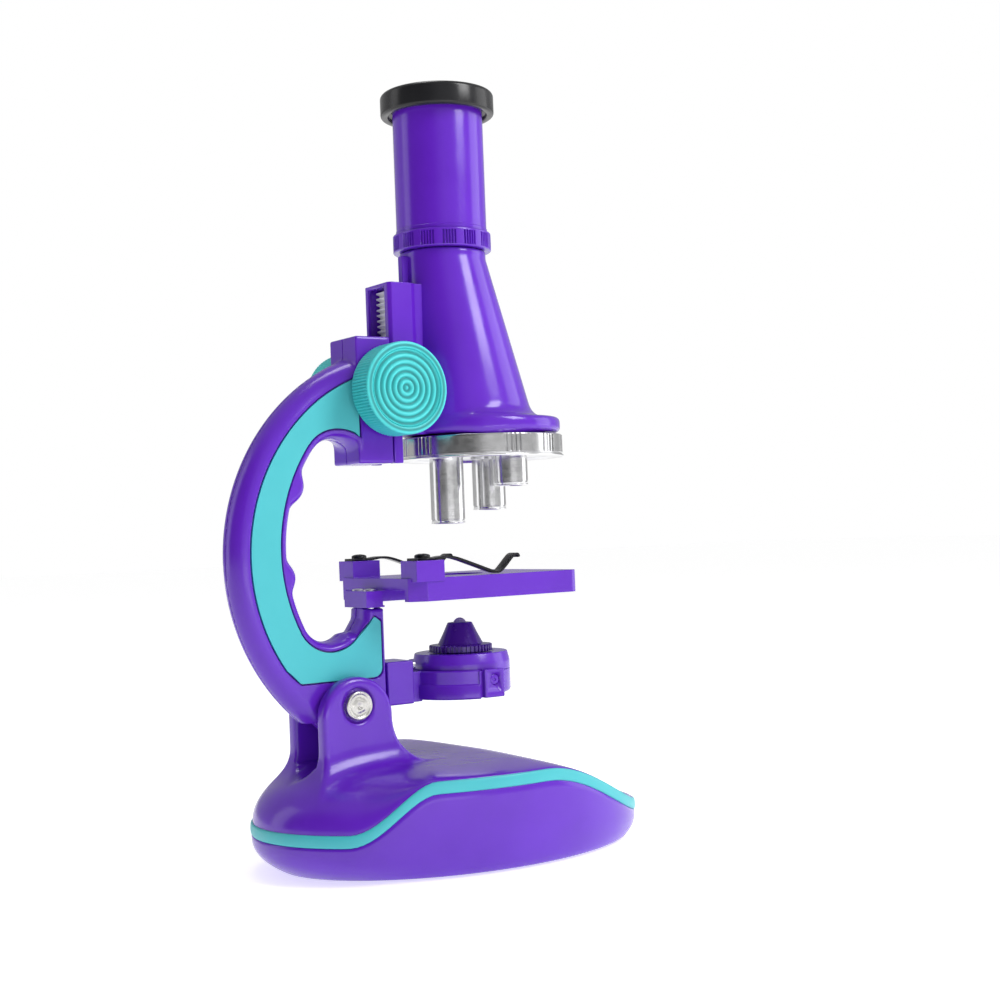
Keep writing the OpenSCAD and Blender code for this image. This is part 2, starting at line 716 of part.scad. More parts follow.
module objective(i) color(silver) at_objective(i) difference() {
    union() {
        rotate_extrude() polygon([[0, tip_z[i]], [barrel_r - 0.5, tip_z[i]], [barrel_r, tip_z[i] + 0.4],
            [barrel_r, disc_z0 + 0.6 - eps], [0, disc_z0 + 0.6 - eps]]);
        upright(0, 0, disc_z0, disc_z1 - 0.3, spigot_r - 0.02);
    }
    upright(0, 0, tip_z[i] + 2.4, disc_z1, objective_bore);
    upright(0, 0, tip_z[i] - 1, tip_z[i] + 3, 1.6);
    upright(0, 0, tip_z[i] + 0.9, tip_z[i] + 3, 2.2);
}

module objective_long() objective(0);
module objective_medium() objective(1);
module objective_short() objective(2);

module bead_lens(i) color(clear) at_objective(i) translate([0, 0, tip_z[i] + 1.65]) intersection() {
    cylinder(r = 2.15, h = 1.4, center = true);
    translate([0, 0, 2.4]) sphere(3.1);
    translate([0, 0, -2.4]) sphere(3.1);
}

module objective_lens_long() bead_lens(0);
module objective_lens_medium() bead_lens(1);
module objective_lens_short() bead_lens(2);

// ---------------------------------------------------------------- eyepiece

module eyepiece_tube() color(purple) translate([optic_x, 0, 0]) rotate_extrude()
    polygon([[9.4, 162.4], [socket_r - 0.05, 162.4], [socket_r - 0.05, ring_z1], [tube_r, ring_z1 + 0.05],
        [tube_r, 216], [tube_bore, 216], [tube_bore, 212.05], [9.5, 212.05], [9.5, 211], [tube_bore, 209],
        [tube_bore, 181], [9.4, 178], [9.4, 167.6], [8.4, 167.6], [8.4, 167], [9.4, 167]]);

module knurled_ring() color(purple) translate([optic_x, 0, 0]) rotate_extrude()
    polygon([[socket_r, ring_z0], [ring_r - 0.4, ring_z0], [ring_r, ring_z0 + 0.4], [ring_r, ring_z1 - 0.4],
        [ring_r - 0.4, ring_z1], [socket_r, ring_z1]]);

module eyecup() color(black) translate([optic_x, 0, 0]) difference() {
    rotate_extrude() union() {
        polygon([[6, top_z - 2.2], [9, top_z - 0.4], [cup_r - 2.4, top_z - 0.4], [cup_r - 1.6, top_z],
            [cup_r - 1.2, top_z], [cup_r, top_z - 1.2], [cup_r, cup_z0 + 1], [cup_r - 1, cup_z0],
            [cup_r - 2, cup_z0], [tube_r + 0.02, cup_z0 + 1.6], [tube_r + 0.02, 216.1], [6, 216.1]]);
    }
    upright(0, 0, 210, 225, 6);
}

module eye_lens() color(clear) translate([optic_x, 0, 213.1]) rotate_extrude() intersection() {
    translate([0, 43]) circle(45);
    translate([0, -43]) circle(45);
    translate([0, -3]) square([11.5, 6]);
}

module lens_retainer() color(black) translate([optic_x, 0, 0]) tube(tube_bore - 0.02, 8.5, 214.4, 216);

module field_lens() color(clear) translate([optic_x, 0, 165]) intersection() {
    cylinder(r = 9.35, h = 3.8, center = true);
    translate([0, 0, -26]) sphere(28);
}

// ---------------------------------------------------------------- lamp

module housing_profile() polygon([[0, drum_z0], [drum_r - 1.2, drum_z0],
    [drum_r - 0.35, drum_z0 + 0.35], [drum_r, drum_z0 + 1.2], [drum_r, drum_z1 - 2.8],
    [drum_top_r + 0.1, drum_z1 - 0.3], [drum_top_r - 0.25, drum_z1], [0, drum_z1]]);

lamp_screw_places = [[9.6, 0], [-9.6, 0]];

module lamp_drum(z0, z1) translate([lamp_x, 0, 0]) rotate_extrude() intersection() {
    housing_profile();
    translate([0, z0]) square([30, z1 - z0]);
}

module lamp_housing_upper() color(purple) difference() {
    lamp_drum(drum_split + 0.02, 70);
    difference() {
        upright(lamp_x, 0, drum_split - 1, drum_z1 - 1.6, drum_r - 1.8);
        for (p = lamp_screw_places) upright(lamp_x + p[0], p[1], 40, 70, 2.2);
    }
    upright(lamp_x, 0, 50, 70, 6.6);
    for (p = lamp_screw_places) upright(lamp_x + p[0], p[1], 50, drum_z1 - 2, 1.05);
}

module lamp_housing_lower() color(purple) difference() {
    union() {
        lamp_drum(0, drum_split - 0.02);
        for (side = [-1, 1]) along_y(lamp_x, lamp_pivot_z, side > 0 ? drum_r - 1 : -fork_out - 0.3,
            side > 0 ? fork_out + 0.3 : -drum_r + 1, lamp_pin_r);
    }
    difference() {
        upright(lamp_x, 0, drum_z0 + 2.4, 60, drum_r - 1.8);
        for (p = lamp_screw_places) upright(lamp_x + p[0], p[1], 40, 70, 2.2);
    }
    upright(lamp_x, 0, 40, drum_z0 + 1.4, 10.6);
    for (p = lamp_screw_places) {
        upright(lamp_x + p[0], p[1], 40, 60, 1.2);
        upright(lamp_x + p[0], p[1], 40, 47.3, 1.95);
    }
}

module mirror_disc_shape() upright(lamp_x, 0, drum_z0 + 0.4, drum_z0 + 1.4 - eps, 10.55);
module lamp_mirror() color("#dfe6ea") mirror_disc_shape();

module led_board() color("#2e7d4f") difference() {
    upright(lamp_x, 0, drum_z1 - 1.6 - led_board_t, drum_z1 - 1.6, 7.2);
    upright(lamp_x, 0, drum_z1 - 5, drum_z1, 0.6);
}

module led_bulb() color(clear) translate([lamp_x, 0, 0]) {
    upright(0, 0, drum_z1 - 1.58, drum_z1 + 1.8, 2.4);
    translate([0, 0, drum_z1 + 1.8]) sphere(2.4);
}

module button_cells() color(silver) for (y = [-6, 6]) upright(lamp_x, y, 48.1, 52.4, 5.7);

module cell_contact() color("gold") translate([lamp_x - 3, -10, 47.42]) cube([6, 20, 0.65]);

module contact_springs() color("gold") for (y = [-5, 5])
    translate([lamp_x, y, 0]) tube(1.5, 1, 52.42, drum_z1 - 1.62 - led_board_t);

module lamp_screws() color(silver) for (p = lamp_screw_places) {
    upright(lamp_x + p[0], p[1], 46.45, 47.25, 1.85);
    upright(lamp_x + p[0], p[1], 47.2, drum_z1 - 2.2, 1);
}

module lamp_cone() color(purple) translate([lamp_x, 0, 0]) difference() {
    union() {
        upright(0, 0, drum_z1 - 1.4, drum_z1 + 0.2, 6.5);
        upright(0, 0, drum_z1 + 0.1, lamp_collar_z1, lamp_collar_r);
        translate([0, 0, lamp_collar_z1 - eps])
            cylinder(r1 = lamp_cone_r0, r2 = lamp_cone_r1, h = lamp_cone_z1 - lamp_collar_z1);
    }
    translate([0, 0, drum_z1 - 2]) cylinder(r1 = 6.1, r2 = 3.3, h = 6.6);
    upright(0, 0, 60, 70, 2.3);
}

module condenser_lens() color(clear) translate([lamp_x, 0, 0]) {
    upright(0, 0, 63.6, lamp_cone_z1 - 0.2, 2.28);
    translate([0, 0, lamp_cone_z1 - 0.6]) sphere(2.0);
}

base_shell_upper();
base_trim_band();
base_shell_lower();
base_bottom_cover();
rubber_feet();
base_screws();
pivot_bolt();
pivot_nut();
pivot_washers();
arm_half_right();
arm_half_left();
arm_inlay_right();
arm_inlay_left();
arm_screws();
stage_plate();
stage_screws();
clip_screws();
lamp_fork();
fork_screw();
clip_right();
clip_left();
focus_shaft();
focus_pinion();
focus_knob_right();
focus_knob_left();
body_tube();
focus_rack();
turret_screw();
turret_washer();
detent_ball();
detent_spring();
turret_disc();
objective_long();
objective_medium();
objective_short();
objective_lens_long();
objective_lens_medium();
objective_lens_short();
eyepiece_tube();
knurled_ring();
eyecup();
eye_lens();
lens_retainer();
field_lens();
lamp_housing_upper();
lamp_housing_lower();
lamp_mirror();  // mirror
led_board();
led_bulb();
button_cells();
cell_contact();
contact_springs();
lamp_screws();
lamp_cone();
condenser_lens();
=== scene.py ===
"""Looks of a children's microscope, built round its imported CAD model.

Sizes are in millimetres and become metres when a mesh is made. +X is towards the stage's free
end, -Y is the user's right-hand side, +Z is up.
"""

import contextlib
import math

import bmesh
import bpy
import numpy as np
from mathutils import Matrix, Vector


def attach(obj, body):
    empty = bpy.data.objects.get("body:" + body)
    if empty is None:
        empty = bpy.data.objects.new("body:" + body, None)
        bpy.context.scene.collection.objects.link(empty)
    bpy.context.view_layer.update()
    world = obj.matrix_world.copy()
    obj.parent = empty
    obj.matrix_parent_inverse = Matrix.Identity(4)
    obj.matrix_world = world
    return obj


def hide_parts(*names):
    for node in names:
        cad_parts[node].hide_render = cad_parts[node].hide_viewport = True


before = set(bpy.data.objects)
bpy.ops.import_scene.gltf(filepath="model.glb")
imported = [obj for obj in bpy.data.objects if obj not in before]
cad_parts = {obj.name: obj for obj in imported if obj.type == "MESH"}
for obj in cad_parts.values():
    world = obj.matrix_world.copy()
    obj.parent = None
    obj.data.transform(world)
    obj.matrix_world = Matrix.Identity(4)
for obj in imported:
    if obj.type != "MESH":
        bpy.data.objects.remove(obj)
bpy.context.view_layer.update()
MM = 0.001
SIDES = ((-1, "right", "-Y"), (1, "left", "Y"))  # sign along Y, name, and the axis that points outwards
SHELL = "purple_gloss_shell"  # slot of every glossy purple moulding
scene = bpy.context.scene

# ---- driving dimensions

BASE_X, BASE_A, BASE_B = 3.5, 59.5, 42.0  # the oval foot's middle and half axes
BAND_HALF, BAND_BACK_Z = 1.65, 12.3  # the band's half width, and the height of its middle at the back
BAND_RISE, RISE_FROM, RISE_TO = 13, -44, -23  # how far it climbs, and between which places
BAND_FALL, FALL_FROM, FALL_TO = 16.9, 9, 62  # how far it then drops towards the front
CREST_Z, CREST_OVER, CREST_FROM, CREST_TO = 29, 3.2, -30, -8  # the deck's hump, and its rise in front of it
RIM_IN, LIP = 0.4, 0.95  # the deck's rim stands inside the band, and reaches down behind it
FOOT_Z, WALL = 0.6, 3.4
EAR, EAR_IN, EAR_OUT, EAR_R, EAR_ROOT_Z = (-31.1, 42.5), 6.2, 11.0, 10.8, 16
WEB_R, WEB_Z = 14.5, 41.8  # concave web in front of each ear
CLEVIS_Z = 29.6
PIVOT, RECESS_R = (-31.2, 45.6), 4.8

ARM_C, ARM_R = (-5.0, 86.0), 59.0  # arc of the arm's back on the mid-plane
GRIP_C, GRIP_R = (-0.5, 87.9), 46.7  # arc of the finger side on the mid-plane
GRIP_FROM, GRIP_TO = 143.8, 206  # degrees at which the grip meets the gap's two ends
LOW_C, LOW_R = (-35.4, 70.85), 7.9  # lower end of the finger gap
HIGH_C, HIGH_R = (-31.9, 110.9), 7.7  # upper end of the finger gap
RIDGES = (((-46.7, 106.0), 5.5), ((-49.3, 81.0), 4.6))
ARM_HALF, SEAM = 5.4, 0.03
ROUND_BACK, ROUND_GRIP, ROUND_POST = 4.4, 2.0, 0.9
POST_X, HORN_Z, ARM_FOOT_Z, LUG_R = -18.5, 71.6, 41.0, 9.0
BLOCK_X0, BLOCK_X1, BLOCK_HALF, BLOCK_Z0, BLOCK_Z1 = -26.1, -15.1, 7.56, 111.7, 147.1
TONGUE_Z0, TONGUE_Z1 = 113, 145.9
PINION_SPACE_R, PINION_SPACE_HALF = 5.4, 2.9
RIM_C, RIM_R = (-5.4, 86.3), 53.3  # arc of the inlay's outer edge
INLAY_T, INLAY_GAP, INLAY_BORDER = 0.9, 0.5, 0.9
FLARE_X, FLARE_L, FLARE_Z = -38.8, 12.7, 95  # where the arm's sides start to lean out to the block

OPTIC_X, TURRET_X, LAMP_X = 8.2, 19.2, 9.4
TOP_Z, CUP_Z0, CUP_R, TUBE_R, TUBE_BORE = 219.9, 213.3, 16.6, 13.2, 11.6
RING_Z0, RING_Z1, RING_R, RING_GROUPS = 173.4, 178.6, 14.3, 14
FLANGE_R, FLANGE_Z0, FLANGE_Z1 = 23.6, 119.9, 124.5
CONE_X, CONE_R0, CONE_R1, CONE_Z1, CONE_TOP = 14.8, 19.3, 12.6, 171.0, 173.2
SLIDE_X0, SLIDE_HALF, SLIDE_TOP, SLIDE_ROOT = -14.6, 7.1, 162.9, 6.0
SLOT_HALF, SLOT_LIP, SLOT_TOP = 4.5, 0.9, 161.8  # the slide's slot for the arm's tongue
CAVE_HALF, CAVE_X = 5.3, SLIDE_X0 + 5.1  # the wider space behind the slot's lips
DISC_R, DISC_Z0, DISC_Z1 = 24.1, 112.8, 119.3
DISC_GROUPS = [a + b for a in (-165.4, -101.1, -69.6) for b in (0, 120, 240)]
KNURL_PITCH = 3.4  # degrees between the grooves of the turret and of the grip ring
KNOB_X, KNOB_Z, KNOB_R, KNOB_IN, KNOB_T = -16.0, 131.9, 12.9, 8.9, 9.0
KNOB_RIBS, RING_PITCH = 92, 1.8
TURRET_REST = -14.0  # degrees; the turret's angle in the photograph
OBJECTIVES = (("long", 180.0, 94.2), ("medium", 60.0, 98.0), ("short", -60.0, 104.6))
OBJECTIVE_PITCH, BARREL_R = 11.0, 5.0

STAGE_SCREW_X, STAGE_SCREW_Y, STAGE_SCREW_Z = -22.1, 3.2, 76.2
CLIP_X, CLIP_Y, CLIP_Z, CLIP_W, CLIP_T = -13.4, 17.8, 84.65, 4.4, 0.7

DRUM_R, DRUM_TOP_R, DRUM_Z0, DRUM_Z1, SPLIT = 14.2, 13.5, 45.0, 56.8, 51.7
DRUM_BORE, PIN_R, PIN_Z = 12.4, 1.5, 49.6
FORK_R, TAB_OUT, TAB_HALF = 15.2, 17.4, 3.3
COLLAR_R, COLLAR_TEETH = 9.2, 44

AMBIENT = 0.47
CURTAIN = (-0.97, -0.2, 0.1)  # towards the middle of the soft dark curtain
FLOOR_GLOW = 0.64
CAMERA_EYE, CAMERA_LENS = (-238.65, -387.98, 93.0), 56.62
CAMERA_TURN, CAMERA_PITCH, CAMERA_ROLL = -34.229, -0.938, 2.185

# ---- mesh helpers


def linked(name, data):
    """New object in the scene."""
    piece = bpy.data.objects.new(name, data)
    scene.collection.objects.link(piece)
    return piece


@contextlib.contextmanager
def edited(mesh):
    """Opens a mesh for editing, and writes it back at the end."""
    bm = bmesh.new()
    bm.from_mesh(mesh)
    yield bm
    bm.to_mesh(mesh)
    bm.free()


def make_object(name, verts, faces, sharp=None):
    """New mesh object from points in millimetres; edges sharper than the given angle stay crisp."""
    mesh = bpy.data.meshes.new(name)
    mesh.from_pydata([tuple(v) for v in np.asarray(verts, float) * MM], [], [tuple(f) for f in faces])
    mesh.validate()
    with edited(mesh) as bm:
        bmesh.ops.recalc_face_normals(bm, faces=bm.faces)
    mesh.shade_smooth()
    if sharp:
        mesh.set_sharp_from_angle(angle=math.radians(sharp))
    return linked(name, mesh)


def soften(piece, width, segments=3, angle=35):
    """Rounds the sharp edges of a piece by the given width in millimetres."""
    bevel = piece.modifiers.new("rounded_edges", "BEVEL")
    bevel.width = width * MM
    bevel.segments = segments
    bevel.limit_method = "ANGLE"
    bevel.angle_limit = math.radians(angle)
    bevel.harden_normals = True
    bevel.use_clamp_overlap = True
    return piece


def baked(piece):
    """Applies the modifiers of a piece to its mesh."""
    shown = piece.evaluated_get(bpy.context.evaluated_depsgraph_get())
    mesh = bpy.data.meshes.new_from_object(shown)
    mesh.name = piece.name
    piece.modifiers.clear()
    piece.data = mesh
    return piece


def joined(name, *parts):
    """One object from several, with their modifiers applied."""
    mesh = bpy.data.meshes.new(name)
    with edited(mesh) as bm:
        for part in parts:
            bm.from_mesh(baked(part).data)
            bpy.data.objects.remove(part)
    return linked(name, mesh)


def carved(piece, *cutters, operation="DIFFERENCE"):
    """Cuts other pieces out of a piece, and removes them."""
    for cutter in cutters:
        cut = piece.modifiers.new("carve", "BOOLEAN")
        cut.operation = operation
        cut.solver = "EXACT"
        cut.object = cutter
    bpy.context.view_layer.update()
    baked(piece)
    for cutter in cutters:
        bpy.data.objects.remove(cutter)
    return piece


def arc(centre, radius, start, end, steps=24):
    """Points along an arc, from one angle to another in degrees."""
    return [
        (centre[0] + radius * math.cos(math.radians(a)), centre[1] + radius * math.sin(math.radians(a)))
        for a in np.linspace(start, end, steps + 1)
    ]


def at(z, *points):
    """Points (across, height) whose heights are given from a level."""
    return [(r, z + height) for r, height in points]


def filleted(corners, steps):
    """Closed outline from corners (x, y, radius), each rounded by its radius."""
    points = []
    for i, (x, y, radius) in enumerate(corners):
        here = np.array((x, y), float)
        if not radius:
            points.append((x, y))
            continue
        before = np.array(corners[i - 1][:2], float) - here
        after = np.array(corners[(i + 1) % len(corners)][:2], float) - here
        before /= np.linalg.norm(before)
        after /= np.linalg.norm(after)
        half = math.acos(max(-1, min(1, before @ after))) / 2
        reach = radius / math.tan(half)
        middle = here + (before + after) / np.linalg.norm(before + after) * radius / math.sin(half)
        a, b = here + before * reach - middle, here + after * reach - middle
        turn = max(math.acos(max(-1, min(1, a @ b / radius**2))), 1e-4)
        for s in np.linspace(0, 1, steps + 1):
            mix = (a * math.sin((1 - s) * turn) + b * math.sin(s * turn)) / math.sin(turn)
            points.append(tuple(middle + mix))
    return points


def lathe(name, profile, centre, axis="Z", sectors=96, relief=None, sharp=38):
    """Turns a closed outline of (radius, height) about an axis.

    relief(angle, radius, height) gives how far a point is pushed in. Points on the axis are merged.
    """
    n = len(profile)
    angles = np.arange(sectors) * 2 * math.pi / sectors
    verts, index = [], np.zeros((n, sectors), int)
    for k, (radius, height) in enumerate(profile):
        if radius < 1e-6:
            index[k] = len(verts)
            verts.append((0, 0, height))
            continue
        depth = relief(angles, radius, height) if relief else np.zeros(sectors)
        index[k] = len(verts) + np.arange(sectors)
        r = radius - depth
        verts.extend(zip(r * np.cos(angles), r * np.sin(angles), np.full(sectors, float(height))))
    faces = []
    for k in range(n):
        low, high = index[k], index[(k + 1) % n]
        if low[0] == low[1] and high[0] == high[1]:
            continue
        for s in range(sectors):
            t = (s + 1) % sectors
            quad = [low[s], low[t], high[t], high[s]]
            faces.append(list(dict.fromkeys(quad)))
    v = np.array(verts)
    if axis == "Y":
        v = v[:, [0, 2, 1]]
    if axis == "-Y":
        v = v[:, [0, 2, 1]] * (1, -1, 1)
    return make_object(name, v + np.array(centre), faces, sharp)


def prism(name, outline, low, high, axis, edge):
    """Plate between two distances along an axis, with rounded edges. The outline is in XZ or XY."""
    n = len(outline)
    ring = np.array(outline, float)
    ends = [np.insert(ring, 1 if axis == "Y" else 2, d, axis=1) for d in (low, high)]
    faces = [list(range(n)), list(range(n, 2 * n))]
    faces += [[i, (i + 1) % n, n + (i + 1) % n, n + i] for i in range(n)]
    piece = make_object(name, np.vstack(ends), faces, 30)
    return soften(piece, edge) if edge else piece


def block(name, x, y, z, edge):
    """Bar between two corners, with rounded edges."""
    return prism(name, [(x[0], y[0]), (x[1], y[0]), (x[1], y[1]), (x[0], y[1])], z[0], z[1], "Z", edge)


def loops(name, rings, closed=False, sharp=40):
    """Skin over a list of closed rings; the ends are capped unless the rings form a loop."""
    n, m = len(rings[0]), len(rings)
    faces = []
    for k in range(m if closed else m - 1):
        a, b = k * n, ((k + 1) % m) * n
        faces += [[a + i, a + (i + 1) % n, b + (i + 1) % n, b + i] for i in range(n)]
    if not closed:
        faces += [list(range(n)), list(range((m - 1) * n, m * n))]
    return make_object(name, np.vstack(rings), faces, sharp)


def ease(x, a, b):
    """0 up to a, 1 from b on, and smooth between them."""
    t = np.clip((x - a) / (b - a), 0, 1)
    return t * t * (3 - 2 * t)


def blended(a, b, k):
    """Smallest of two distances, with the crease filled to a radius near k."""
    h = np.maximum(k - np.abs(a - b), 0) / k
    return np.minimum(a, b) - h * h * k / 4


def carved_off(a, b, k):
    """Largest of two distances, with the edge rounded to a radius near k."""
    return -blended(-a, -b, k)


def bar_distance(x, y, z, low, high, r):
    """Distance to a bar between two corners, with rounded edges."""
    q = [np.abs(v - (a + b) / 2) - (b - a) / 2 + r for v, a, b in zip((x, y, z), low, high)]
    outside = np.sqrt(sum(np.maximum(v, 0) ** 2 for v in q))
    return outside + np.minimum(np.maximum(np.maximum(q[0], q[1]), q[2]), 0) - r


def outline_distance(x, z, outline):
    """Signed distance to a closed outline, negative inside."""
    p = np.stack([np.ravel(x), np.ravel(z)], 1)
    ring = np.array(outline, float)
    best = np.full(len(p), 1e18)
    inside = np.zeros(len(p), bool)
    for a, b in zip(ring, np.roll(ring, -1, axis=0)):
        e, w = b - a, p - a
        t = np.clip(w @ e / (e @ e), 0, 1)
        best = np.minimum(best, ((w - t[:, None] * e) ** 2).sum(1))
        if a[1] != b[1]:
            crosses = (p[:, 1] >= min(a[1], b[1])) & (p[:, 1] < max(a[1], b[1]))
            right = a[0] + (p[:, 1] - a[1]) / (b[1] - a[1]) * (b[0] - a[0]) > p[:, 0]
            inside ^= crosses & right
    return (np.sqrt(best) * np.where(inside, -1, 1)).reshape(np.shape(x))


def shaped(name, field, low, high, step):
    """Closed mesh of the surface where a distance field is zero: sampled on a grid, then moved onto it."""
    axes = [np.arange(a, b + step, step) for a, b in zip(low, high)]
    values = field(*np.meshgrid(*axes, indexing="ij"))
    cells = tuple(s - 1 for s in values.shape)
    total, count = np.zeros(cells + (3,)), np.zeros(cells)
    quads = []
    for axis in range(3):
        u, v = (axis + 1) % 3, (axis + 2) % 3
        lower = np.moveaxis(values, axis, 0)[:-1]
        upper = np.moveaxis(values, axis, 0)[1:]
        lower, upper = np.moveaxis(lower, 0, axis), np.moveaxis(upper, 0, axis)
        cross = (lower < 0) != (upper < 0)
        share = np.where(cross, lower / np.where(cross, lower - upper, 1), 0)
        for du in (0, 1):
            for dv in (0, 1):
                pick = [None] * 3
                pick[axis] = slice(None)
                pick[u] = slice(du, cells[u] + du)
                pick[v] = slice(dv, cells[v] + dv)
                hit = cross[tuple(pick)]
                count += hit
                total[..., axis] += np.where(hit, share[tuple(pick)], 0)
                total[..., u] += hit * du
                total[..., v] += hit * dv
        quads.append((axis, u, v, np.argwhere(cross), lower[cross] < 0))
    used = count > 0
    number = np.full(cells, -1)
    number[used] = np.arange(used.sum())
    verts = (np.argwhere(used) + total[used] / count[used][:, None]) * step + np.array(low)
    faces = []
    for axis, u, v, where, outward in quads:
        keep = (where[:, u] > 0) & (where[:, v] > 0) & (where[:, u] < cells[u]) & (where[:, v] < cells[v])
        where, outward = where[keep], outward[keep]
        corner = []
        for du, dv in ((1, 1), (0, 1), (0, 0), (1, 0)):
            at = where.copy()
            at[:, u] -= du
            at[:, v] -= dv
            corner.append(number[at[:, 0], at[:, 1], at[:, 2]])
        quad = np.stack(corner, 1)
        quad[~outward] = quad[~outward][:, ::-1]
        faces.append(quad)
    for _ in range(2):
        here = field(*verts.T)
        nudge = 0.04
        steps = nudge * np.eye(3)
        slope = np.stack([field(*(verts + e).T) - field(*(verts - e).T) for e in steps], 1) / (2 * nudge)
        move = slope * (here / np.maximum((slope**2).sum(1), 0.05))[:, None]
        verts -= np.clip(move, -step / 2, step / 2)
    return make_object(name, verts, np.vstack(faces))


def finished(piece, body, slot, material, *nodes):
    """Gives a piece its body, its material and the CAD nodes that it stands for; the slot is not used."""
    piece.data.materials.clear()
    piece.data.materials.append(material)
    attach(piece, body)
    if nodes:
        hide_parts(*nodes)


def cad_copy(node, edge):
    """A CAD node's shape with its edges rounded."""
    crisp = 30
    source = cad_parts[node]
    mesh = source.data.copy()
    mesh.name = node + "_moulded"
    mesh.transform(source.matrix_world)
    with edited(mesh) as bm:
        bmesh.ops.remove_doubles(bm, verts=bm.verts, dist=2e-6)
        bmesh.ops.dissolve_limit(bm, angle_limit=math.radians(0.5), verts=bm.verts, edges=bm.edges)
    mesh.shade_smooth()
    mesh.set_sharp_from_angle(angle=math.radians(crisp))
    return soften(linked(mesh.name, mesh), edge, angle=crisp)


# ---- materials


def add_node(tree, kind, operation=None, **values):
    """New shader node, with its operation and the constants on its sockets."""
    node = tree.nodes.new("ShaderNode" + kind)
    if operation:
        node.operation = operation
    for key, value in values.items():
        node.inputs[key.replace("_", " ")].default_value = value
    return node


class Shader:
    """A Principled material with the node helpers that the finishes below share."""

    def __init__(self, name, **constants):
        self.material = bpy.data.materials.new(name)
        self.material.use_nodes = True
        self.tree = self.material.node_tree
        self.main = self.tree.nodes["Principled BSDF"]
        for key, value in constants.items():
            self.main.inputs[key.replace("_", " ")].default_value = value
        self.where = add_node(self.tree, "TexCoord").outputs["Object"]

    def noise(self, scale, detail=3, rough=0.5, stretch=None):
        """Cloudy pattern in the object's own space."""
        node = add_node(self.tree, "TexNoise", Scale=scale, Detail=detail, Roughness=rough)
        source = self.where
        if stretch:
            mapping = add_node(self.tree, "Mapping", Scale=stretch)
            self.tree.links.new(source, mapping.inputs["Vector"])
            source = mapping.outputs["Vector"]
        self.tree.links.new(source, node.inputs["Vector"])
        return node.outputs["Fac"]

    def ranged(self, value, low, high, to_low, to_high):
        """A value moved from one range to another, and kept inside it."""
        node = add_node(self.tree, "MapRange", From_Min=low, From_Max=high, To_Min=to_low, To_Max=to_high)
        self.tree.links.new(value, node.inputs["Value"])
        return node.outputs["Result"]

    def mix(self, factor, a, b):
        """Blend of two colours, each a constant or a socket."""
        node = add_node(self.tree, "Mix")
        node.data_type = "RGBA"
        self.tree.links.new(factor, node.inputs["Factor"])
        for key, value in (("A", a), ("B", b)):
            socket = [s for s in node.inputs if s.name == key and s.type == "RGBA"][0]
            if isinstance(value, tuple):
                socket.default_value = (*value, 1)
            else:
                self.tree.links.new(value, socket)
        return [s for s in node.outputs if s.type == "RGBA"][0]

    def rings(self, centre, pitch):
        """0 on the crests and 1 in the grooves of rings round an axis along Y; the mask of a painted groove
        shade.
        """
        wide = 2 * math.pi / (pitch * MM)
        steps = (("SUBTRACT", tuple(v * MM for v in centre)), ("MULTIPLY", (wide, 0, wide)), ("LENGTH", None))
        value = self.where
        for operation, factor in steps:
            node = add_node(self.tree, "VectorMath", operation)
            self.tree.links.new(value, node.inputs[0])
            if factor:
                node.inputs[1].default_value = factor
            value = node.outputs["Vector" if factor else "Value"]
        wave = add_node(self.tree, "Math", "COSINE")
        self.tree.links.new(value, wave.inputs[0])
        return self.ranged(wave.outputs["Value"], -1, 0.5, 1, 0)

    def finish(self, colour, rough, *layers):
        """Ends the material; each bump layer is (height, distance in millimetres, strength)."""
        self.tree.links.new(colour, self.main.inputs["Base Color"])
        self.tree.links.new(rough, self.main.inputs["Roughness"])
        normal = None
        for height, distance, strength in layers:
            node = add_node(self.tree, "Bump", Distance=distance * MM, Strength=strength)
            self.tree.links.new(height, node.inputs["Height"])
            if normal:
                self.tree.links.new(normal, node.inputs["Normal"])
            normal = node.outputs["Normal"]
        self.tree.links.new(normal, self.main.inputs["Normal"])
        return self.material


def moulded_plastic(name, deep, light, rough=(0.18, 0.27), peel=0.16, grain=0.05, ior=1.47, coat=0.1,
                    groove_shade=None):
    """Glossy ABS: cloudy pigment, orange peel, handling marks in the gloss; painted shade in the grooves of
    any turned rings.
    """
    s = Shader(name, IOR=ior, Coat_Weight=coat, Coat_Roughness=0.06)
    cloud = s.mix(s.ranged(s.noise(38, 4), 0.35, 0.65, 0, 1), deep, light)
    colour = s.mix(s.ranged(s.noise(1900, 2), 0.6, 0.74, 0, 0.3), cloud, light)
    if groove_shade:
        # painted shade: the colour darkens in the grooves between the knob's turned rings
        colour = s.mix(s.rings((KNOB_X, 0, KNOB_Z), RING_PITCH), colour, groove_shade)
    gloss = s.ranged(s.noise(120, 6, 0.65), 0.3, 0.7, *rough)
    return s.finish(colour, gloss, (s.noise(260, 2), 0.12, peel), (s.noise(2600, 3), 0.02, grain))


def turned_metal(name, base, dark, rough=(0.07, 0.2), rings=2600, axis=2, smudge=0.15):
    """Bright metal with fine lathe rings, a few smudges and a darker film in places."""
    s = Shader(name, Metallic=1.0)
    stretch = [6, 6, 6]
    stretch[axis] = rings
    lathe_lines = s.noise(1, 3, 0.6, tuple(stretch))
    colour = s.mix(s.ranged(s.noise(90, 5), 0.45, 0.8, 0, 0.4), base, dark)
    gloss = s.ranged(s.noise(420, 5, 0.7), 0.3, 0.7, *rough)
    return s.finish(colour, gloss, (lathe_lines, 0.02, 0.3), (s.noise(900, 4), 0.02, smudge))


def matt_surface(name, base, light, rough=(0.55, 0.75), grain=0.35):
    """Spark-textured plastic or rubber."""
    s = Shader(name, IOR=1.48)
    colour = s.mix(s.ranged(s.noise(90, 5), 0.3, 0.7, 0, 1), base, light)
    gloss = s.ranged(s.noise(300, 4), 0.3, 0.7, *rough)
    return s.finish(colour, gloss, (s.noise(1500, 4, 0.6), 0.06, grain))


